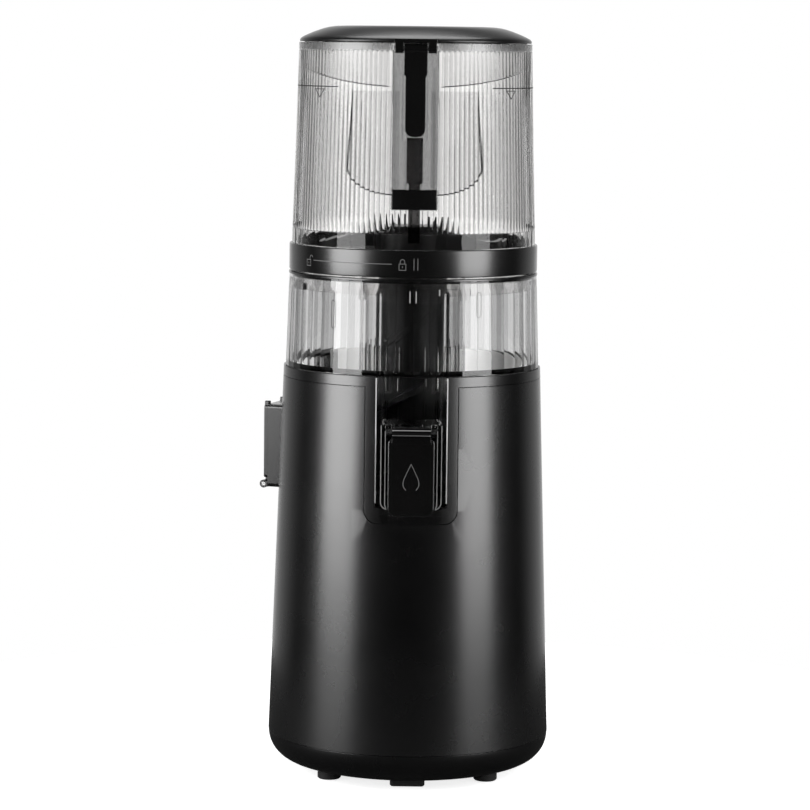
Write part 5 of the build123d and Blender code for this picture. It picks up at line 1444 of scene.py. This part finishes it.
@dataclass
class Auger:
    """Juicing screw with the cutting wings and the hub on its head."""

    core_r: float = 22.0
    runout_z: float = 240.0
    runout: float = 18.0
    runout_share: float = 0.97
    wing_z: float = 334.0
    wing_reach: float = 63.0
    wing_height: float = 5.5
    wing_rise: float = 18.0
    wing_lean: float = 0.25
    wing_steps: int = 28
    wing_back: tuple[Point, ...] = ((-65, 0.36), (-23, 0.81), (11, 1.0))
    wing_front: tuple[Point, ...] = ((-34, 0.34), (-10, 0.66), (17, 0.94))
    hub_wall: float = 3.0
    hub_height: float = 13.0

    def screw(self) -> None:
        """Dress the screw, with its flights run out into the core above the body."""
        piece = moulding("juicing_auger", "screw", "juicing_screw", Finish.SCREW)
        for vert in piece.data.vertices:
            radius = math.hypot(vert.co.x, vert.co.y) / MM
            share = min(1.0, max(0.0, (vert.co.z / MM - self.runout_z) / self.runout))
            if radius > self.core_r and share > 0:
                left = 1 - self.runout_share * share
                factor = (self.core_r + (radius - self.core_r) * left) / radius
                vert.co.x *= factor
                vert.co.y *= factor

    def _edge(self, marks: Sequence[Point], turn: float, share: float) -> Vector:
        """Return a point on the smooth line through a wing edge's three marks.

        Args:
            marks: Angle in degrees and share of the wing's reach of each mark.
            turn: Angle of the wing in degrees.
            share: How far along the edge the point is.

        Returns:
            The point in plan, in millimetres.
        """
        first, middle, last = (
            Matrix.Rotation(math.radians(turn + angle), 2) @ Vector((self.wing_reach * part, 0))
            for angle, part in marks
        )
        bend = 2 * middle - (first + last) / 2
        return first * (1 - share) ** 2 + bend * 2 * share * (1 - share) + last * share**2

    def wings(self) -> None:
        """Build the two curved cutting wings."""
        draft = bmesh.new()
        for turn in (0, 180):
            rows = []
            for k in range(self.wing_steps + 1):
                share = k / self.wing_steps
                outside = self._edge(self.wing_back, turn, share)
                inside = self._edge(self.wing_front, turn, share)
                high = self.wing_z + self.wing_height + self.wing_rise * (1 - share) ** 4
                lean = (inside - outside) * self.wing_lean
                feet, crest = (outside, inside), (outside + lean, inside - lean)
                corners = ((feet[0], self.wing_z), (crest[0], high))
                corners += ((crest[1], high), (feet[1], self.wing_z))
                rows.append([draft.verts.new(mm(point.x, point.y, z)) for point, z in corners])
            loft(draft, rows, False)
        piece = new_piece("auger_wings", draft, SMOOTH)
        seat(piece, "juicing_screw", Finish.SCREW, ["screw_blade"])

    def hub(self) -> None:
        """Build the hub between the wings."""
        inside, outside = self.core_r + 0.02, self.core_r + self.hub_wall
        low, high = self.wing_z, self.wing_z + self.hub_height
        profile = [(inside, low), (outside, low), (outside, high - 1.5)]
        profile += [(outside - 1.5, high), (inside, high)]
        seat(turned("auger_hub", profile, 96), "juicing_screw", Finish.SCREW)

    def build(self) -> None:
        """Build and dress the screw and its head."""
        self.screw()
        self.wings()
        self.hub()


@dataclass
class Lid:
    """Hinged lid with its skirt, bracket, latch and painted shade along the skirt's lower edge."""

    radius: float = 73.7
    flat_r: float = 55.0
    top_z: float = 477.7
    wall: float = 2.5
    ceiling_z: float = 475.2
    shoulder: tuple[Point, ...] = (
        (49.0, 477.45), (52.0, 477.2), (55.0, 476.75), (58.0, 476.0), (61.0, 475.05),
        (64.5, 473.75), (68.0, 472.3), (70.6, 471.1), (72.2, 470.2), (73.1, 469.5),
    )
    edge: tuple[Point, ...] = ((73.55, 468.9), (73.7, 468.3), (73.7, 467.9), (73.45, 467.42))
    inner_edge: tuple[float, ...] = (469.8, 469.2, 468.4, 467.42)
    skirt_r: float = 69.0
    notch_half: float = 13.45
    notch_steps: int = 16
    segments: int = 288
    arm_y: float = 71.5
    skirt_z: float = 439.5
    skirt_low_r: float = 68.2
    skirt_high_r: float = 71.2
    skirt_height: float = 27.9
    skirt_slope: float = 0.228
    skirt_open: float = 14.5
    skirt_step: float = 1.5

    def _profile(self) -> tuple[list[Point], list[Point]]:
        """Return the outer and the inner profile, from the centre to the edge."""
        radii = (9.0 * k for k in range(6))
        flat = [(r, self.top_z - 0.15 * (r / self.flat_r) ** 2) for r in radii]
        top = [*flat, *self.shoulder]
        inner = [(min(r, self.skirt_r - 1.5), min(z - self.wall, self.ceiling_z)) for r, z in top]
        return top + list(self.edge), inner + [(self.skirt_r, z) for z in self.inner_edge]

    def cap(self) -> None:
        """Build the bevelled lid with the notch for its latch bracket and the hinge's arms."""
        outer, inner = self._profile()

        def skin(profile: list[Point]) -> Surface:
            """Return a surface over (angle, index along the profile)."""
            return lambda angle, index: polar(profile[int(index)][0], angle, profile[int(index)][1])

        half = math.asin(self.notch_half / self.radius)
        steps = self.notch_steps
        rest = (TAU - 2 * half) / (self.segments - steps)
        across = [FRONT - half + 2 * half / steps * k for k in range(steps)]
        across += [FRONT + half + rest * k for k in range(self.segments - steps)]

        def kept(angle: float, index: float) -> bool:
            """Return False in the notch."""
            return apart(angle, FRONT) > half or index < len(outer) - len(self.edge)

        rows = range(len(outer))
        draft = WalledShell(across, rows, skin(outer), skin(inner), kept, pole=True).draft()
        bmesh.ops.remove_doubles(draft, verts=draft.verts, dist=CLOSE)
        arms = merged("lid")
        edges = trimmed(arms, mm(0, self.arm_y, 0), Vector((0, -1, 0)))
        bmesh.ops.holes_fill(arms, edges=edges)
        join(draft, arms)
        seat(new_piece("lid_cap", draft, 32.0), "lid_unit", Finish.LID, ["lid"])

    def _skirt_radius(self, z: float) -> float:
        """Return the skirt's outer radius at a height."""
        share = (z - self.skirt_z) / self.skirt_height
        return self.skirt_low_r + (self.skirt_high_r - self.skirt_low_r) * share + 0.02

    def skirt_painted_edge_shade(self) -> None:
        """Draw a dark line of painted shade along the clear skirt's lower edge, which rises towards
        the hinge.
        """
        runs = []
        for side in (-1, 1):
            run = []
            for k in range(60):
                turn = math.radians(self.skirt_open + self.skirt_step * k)
                up = 0.5
                for _ in range(6):
                    y = -self._skirt_radius(self.skirt_z + up) * math.cos(turn)
                    up = 0.5 + self.skirt_slope * max(0.0, y + self.skirt_low_r)
                run.append((side * turn * self._skirt_radius(self.skirt_z + up), up))
            runs.append(run)
        # Painted shade: a dark line where the clear skirt's edge reads dark.
        canvas = drum(self._skirt_radius, self.skirt_z)
        Pen(0.45, 0.05).seat("lid_skirt_painted_edge_shade", runs, canvas, "lid_unit", Finish.INK_AND_EDGE_SHADE)

    def build(self) -> None:
        """Build and dress the lid and its latch."""
        self.cap()
        rows = (
            ("lid_inner_skirt", "lid_skirt", Finish.INNER),
            ("lid_latch_bracket", "latch_bracket", Finish.SATIN),
            ("lid_latch_pin", "latch_pin", Finish.STEEL),
        )
        mouldings("lid_unit", rows)
        moulding("latch_tongue", "latch", "latch_unit", Finish.SATIN)
        self.skirt_painted_edge_shade()


@dataclass(frozen=True)
class Slot:
    """An open slot in the body's top edge.

    Attributes:
        name: First part of the names of its pieces.
        azimuth: Degrees from the front, positive to the right.
        half: Half its width in millimetres.
        base: Height of its floor in millimetres.
    """

    name: str
    azimuth: float
    half: float
    base: float


@dataclass
class Housing:
    """Body, collar, base, switch and everything inside them."""

    low_r: float = 90.5
    high_r: float = 82.3
    seam_z: float = 25.0
    edge_z: float = 255.05
    top_z: float = 261.5
    border: float = 6.5
    border_drop: float = 3.2
    corner: float = 8.0
    highlight_r: float = 79.5
    upright_step: float = 6.0
    level_step: float = 4.0
    slots: tuple[Slot, ...] = (
        Slot("juice_slot", 0.0, 22.5, 180.0),
        Slot("pulp_slot", PULP_AZIMUTH, 20.0, 176.5),
    )
    hidden: dict[Finish, str] = field(
        default_factory=lambda: {
            Finish.CAN: "motor_can motor_end_cap",
            Finish.CORE: "stator rotor",
            Finish.STEEL: "motor_shaft motor_pinion cluster_pin drive_shaft gear_clip "
            "gearbox_screws motor_screws bottom_screws",
            Finish.CASE: "cooling_fan gearbox_base gearbox_cover board_holder",
            Finish.NYLON: "cluster_gear output_gear",
            Finish.BRONZE: "lower_bush upper_bush",
            Finish.SILICONE: "shaft_seal",
            Finish.BOARD: "circuit_board",
        }
    )

    def dress_inside(self) -> None:
        """Give every hidden piece its finish."""
        for finish, nodes in self.hidden.items():
            for piece in (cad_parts[node] for node in nodes.split()):
                finish.dress(piece)

    def shell_radius(self, z: float) -> float:
        """Return the body's outer radius at a height."""
        share = (z - self.seam_z) / (self.top_z - self.seam_z)
        return self.low_r + (self.high_r - self.low_r) * share

    def slot_lines(self, slot: Slot) -> None:
        """Draw the parting line round a slot's border, and pale raised lines of painted highlight
        on the slot's side walls.
        """
        turn = Matrix.Rotation(math.radians(slot.azimuth), 3, "Z")

        def outside(across: float, up: float) -> tuple[Vector, Vector]:
            """Return the point and the normal on the tapered wall."""
            wall = self.shell_radius(up) + 0.01
            spot = turn @ Vector((across, -math.sqrt(wall**2 - across**2), 0))
            return spot * MM + mm(0, 0, up), spot.normalized()

        def inside(across: float, up: float) -> tuple[Vector, Vector]:
            """Return the point and the normal on the slot's side wall, by its sign."""
            side = 1.0 if across > 0 else -1.0
            spot = turn @ Vector((side * slot.half, -self.highlight_r - abs(across), 0))
            return spot * MM + mm(0, 0, up), turn @ Vector((-side, 0, 0))

        wide, low = slot.half + self.border, slot.base - self.border - self.border_drop
        bend = self.corner
        heights = (self.edge_z - self.upright_step * k for k in range(12))
        right = [(wide, z) for z in heights if z > low + bend]
        right += arc(wide - bend, low + bend, bend, 0, -90, 10)
        level = int((wide - bend) / self.level_step)
        right += [(wide - bend - self.level_step * k, low) for k in range(1, level + 1)]
        line = right + mirrored([point for point in right if point[0] > 0.01])
        Pen(0.5, 0.02).seat(slot.name + "_seam", [line], outside, "body", Finish.SEAM)
        # Painted highlight: pale lines on the slot's inner edges of the black body.
        ends = (slot.base + 3.0, self.top_z - 0.6)
        highlight_lines = [[(side * 0.6, z) for z in ends] for side in (-1, 1)]
        Pen(0.5, 0.7).seat(slot.name + "_painted_side_highlights", highlight_lines, inside, "body", Finish.SLOT_PAINTED_HIGHLIGHT)

    def build(self) -> None:
        """Build and dress the housing."""
        self.dress_inside()
        rows = (
            ("body_wall", "body_shell", Finish.SHELL),
            ("body_collar", "seat_collar", Finish.COLLAR),
            ("base_cover", "bottom_cover", Finish.BASE),
            ("base_round_feet", "round_feet", Finish.RUBBER),
            ("base_front_foot", "front_foot", Finish.RUBBER),
            ("cord_inlet", "cord_gland", Finish.RUBBER),
            ("switch_frame", "switch_bezel", Finish.SWITCH),
        )
        mouldings("body", rows)
        moulding("switch_rocker_cap", "switch_rocker", "switch", Finish.SWITCH)
        for slot in self.slots:
            self.slot_lines(slot)


# ------------------------------------------------------------------------ studio
@dataclass(frozen=True)
class Lamp:
    """A soft rectangular lamp that faces the machine.

    Attributes:
        name: Name of the lamp.
        azimuth: Degrees from the front, positive to the right.
        distance: Distance from the axis.
        height: Height over the table.
        size: Width and height of the lamp.
        radiance: Brightness of its face, where 1 is white.
        aim_z: Height that it faces.
    """

    name: str
    azimuth: float
    distance: float
    height: float
    size: Point
    radiance: float
    aim_z: float = 240.0

    def build(self) -> None:
        """Add the lamp, unseen by the camera and through clear walls."""
        data = bpy.data.lights.new(self.name, "AREA")
        data.shape = "RECTANGLE"
        data.size, data.size_y = (MM * side for side in self.size)
        data.energy = self.radiance * math.pi * data.size * data.size_y
        lamp = bpy.data.objects.new(self.name, data)
        bpy.context.scene.collection.objects.link(lamp)
        lamp.location = polar(self.distance, FRONT + math.radians(self.azimuth), self.height)
        lamp.rotation_mode = "QUATERNION"
        aim = mm(0, 0, self.aim_z) - lamp.location
        lamp.rotation_quaternion = aim.to_track_quat("-Z", "Y")
        lamp.visible_camera = False
        lamp.visible_transmission = False


@dataclass
class Studio:
    """Floor, background, lamps and camera."""

    camera_distance: float = 2060.0
    camera_height: float = 466.5
    camera_side: float = -4.2
    pitch: float = 6.4
    roll: float = 0.684
    lens: float = 143.1
    floor_radius: float = 450.0
    floor_z: float = -0.5
    floor_tone: float = 0.8
    floor_glow: float = 0.8
    floor_gloss: float = 0.06
    ambient: float = 0.07
    panel_pitch: float = 45.0
    panel_half: float = 10.0
    gap_tone: float = 0.25
    lamps: tuple[Lamp, ...] = (
        Lamp("left_strip", -63, 1300, 570, (820, 1200), 6.8),
        Lamp("right_strip", 57, 1300, 570, (720, 1200), 5.95),
        Lamp("top_soft", 180, 500, 1700, (1000, 800), 4.0),
    )

    def camera(self) -> None:
        """Make the camera."""
        data = bpy.data.cameras.new("camera")
        data.sensor_width = 36.0
        data.lens = self.lens
        data.clip_start, data.clip_end = 0.05, 50.0
        eye = bpy.data.objects.new("camera", data)
        bpy.context.scene.collection.objects.link(eye)
        tilt = Matrix.Rotation(math.radians(90 - self.pitch), 4, "X")
        turn = Matrix.Rotation(math.radians(self.roll), 4, "Z")
        spot = mm(self.camera_side, -self.camera_distance, self.camera_height)
        eye.matrix_world = Matrix.Translation(spot) @ tilt @ turn
        bpy.context.scene.camera = eye

    def world(self) -> None:
        """Make the surroundings: white to see, with dark gaps between panels for gloss."""
        world = bpy.data.worlds.new("surroundings")
        bpy.context.scene.world = world
        world.use_nodes = True
        net = NodeNet(world.node_tree)
        maths, ramp, mix = net.maths, net.ramp, net.mix
        where = net.node("ShaderNodeTexCoord").outputs["Generated"]
        x, y, z = net.node("ShaderNodeSeparateXYZ", {0: where}).outputs
        turn = maths("DIVIDE", maths("ARCTAN2", x, y), math.radians(self.panel_pitch))
        place = maths("FRACT", maths("ADD", turn, 0.5))
        away = maths("ABSOLUTE", maths("SUBTRACT", place, 0.5))
        edge = self.panel_half / self.panel_pitch
        panels = ramp(away, edge, edge * 1.5, 1.0, self.gap_tone)
        behind = maths("ADD", ramp(y, 0.35, 1.0, 0.0, 0.65), ramp(y, 0.88, 1.0, 0.0, 0.6))
        behind = maths("MULTIPLY", behind, ramp(z, 0.15, 0.6, 1.0, 0.1))
        path = net.node("ShaderNodeLightPath").outputs
        echoed = maths("GREATER_THAN", path["Glossy Depth"], 0.5)
        tone = mix(path["Is Glossy Ray"], self.ambient, behind)
        tone = mix(path["Is Transmission Ray"], tone, mix(echoed, panels, behind))
        tone = mix(path["Is Camera Ray"], tone, 1.0)
        sky = net.node("ShaderNodeBackground", {"Strength": tone, "Color": (1, 1, 1, 1)})
        net.node("ShaderNodeOutputWorld", {"Surface": sky.outputs[0]})

    def paper(self) -> bpy.types.Material:
        """Return the floor's finish, which glows white to the eye and stays dark in gloss."""
        sheet = Sheet("floor_paper")
        path = sheet.node("ShaderNodeLightPath").outputs
        matt, gloss = grey(self.floor_tone), grey(self.floor_gloss)
        tone = sheet.blend(path["Is Glossy Ray"], matt, gloss)
        sheet.shade({"Base Color": tone, "Roughness": 0.9, "Specular IOR Level": 0.1})
        seen = sheet.maths("MAXIMUM", path["Is Camera Ray"], path["Is Transmission Ray"])
        direct = sheet.maths("MULTIPLY", seen, sheet.maths("LESS_THAN", path["Glossy Depth"], 0.5))
        strength = sheet.maths("MULTIPLY", direct, self.floor_glow)
        glow = sheet.node("ShaderNodeEmission", {"Strength": strength})
        both = sheet.node("ShaderNodeAddShader", {0: sheet.shader.outputs[0], 1: glow.outputs[0]})
        sheet.feed(sheet.output, {"Surface": both.outputs[0]})
        return sheet.material

    def floor(self) -> None:
        """Lay the pale round floor, which runs out into the white surroundings."""
        draft = bmesh.new()
        radius = self.floor_radius * MM
        bmesh.ops.create_circle(draft, cap_ends=True, segments=128, radius=radius)
        plane = as_object("floor", draft)
        plane.location.z = self.floor_z * MM
        plane.data.materials.append(self.paper())

    def build(self) -> None:
        """Set up the whole studio."""
        bpy.context.scene.view_settings.view_transform = "Standard"
        self.camera()
        self.world()
        self.floor()
        for lamp in self.lamps:
            lamp.build()


def main() -> None:
    """Build the machine in order."""
    logging.basicConfig(level=logging.INFO, format="%(name)s: %(message)s")
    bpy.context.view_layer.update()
    for assembly in (Housing(), Bowl(), JuiceSpout(), Auger(), Hopper(), Lid()):
        LOG.info("building %s", type(assembly).__name__.lower())
        assembly.build()
    Studio().build()


if __name__ == "__main__":
    main()
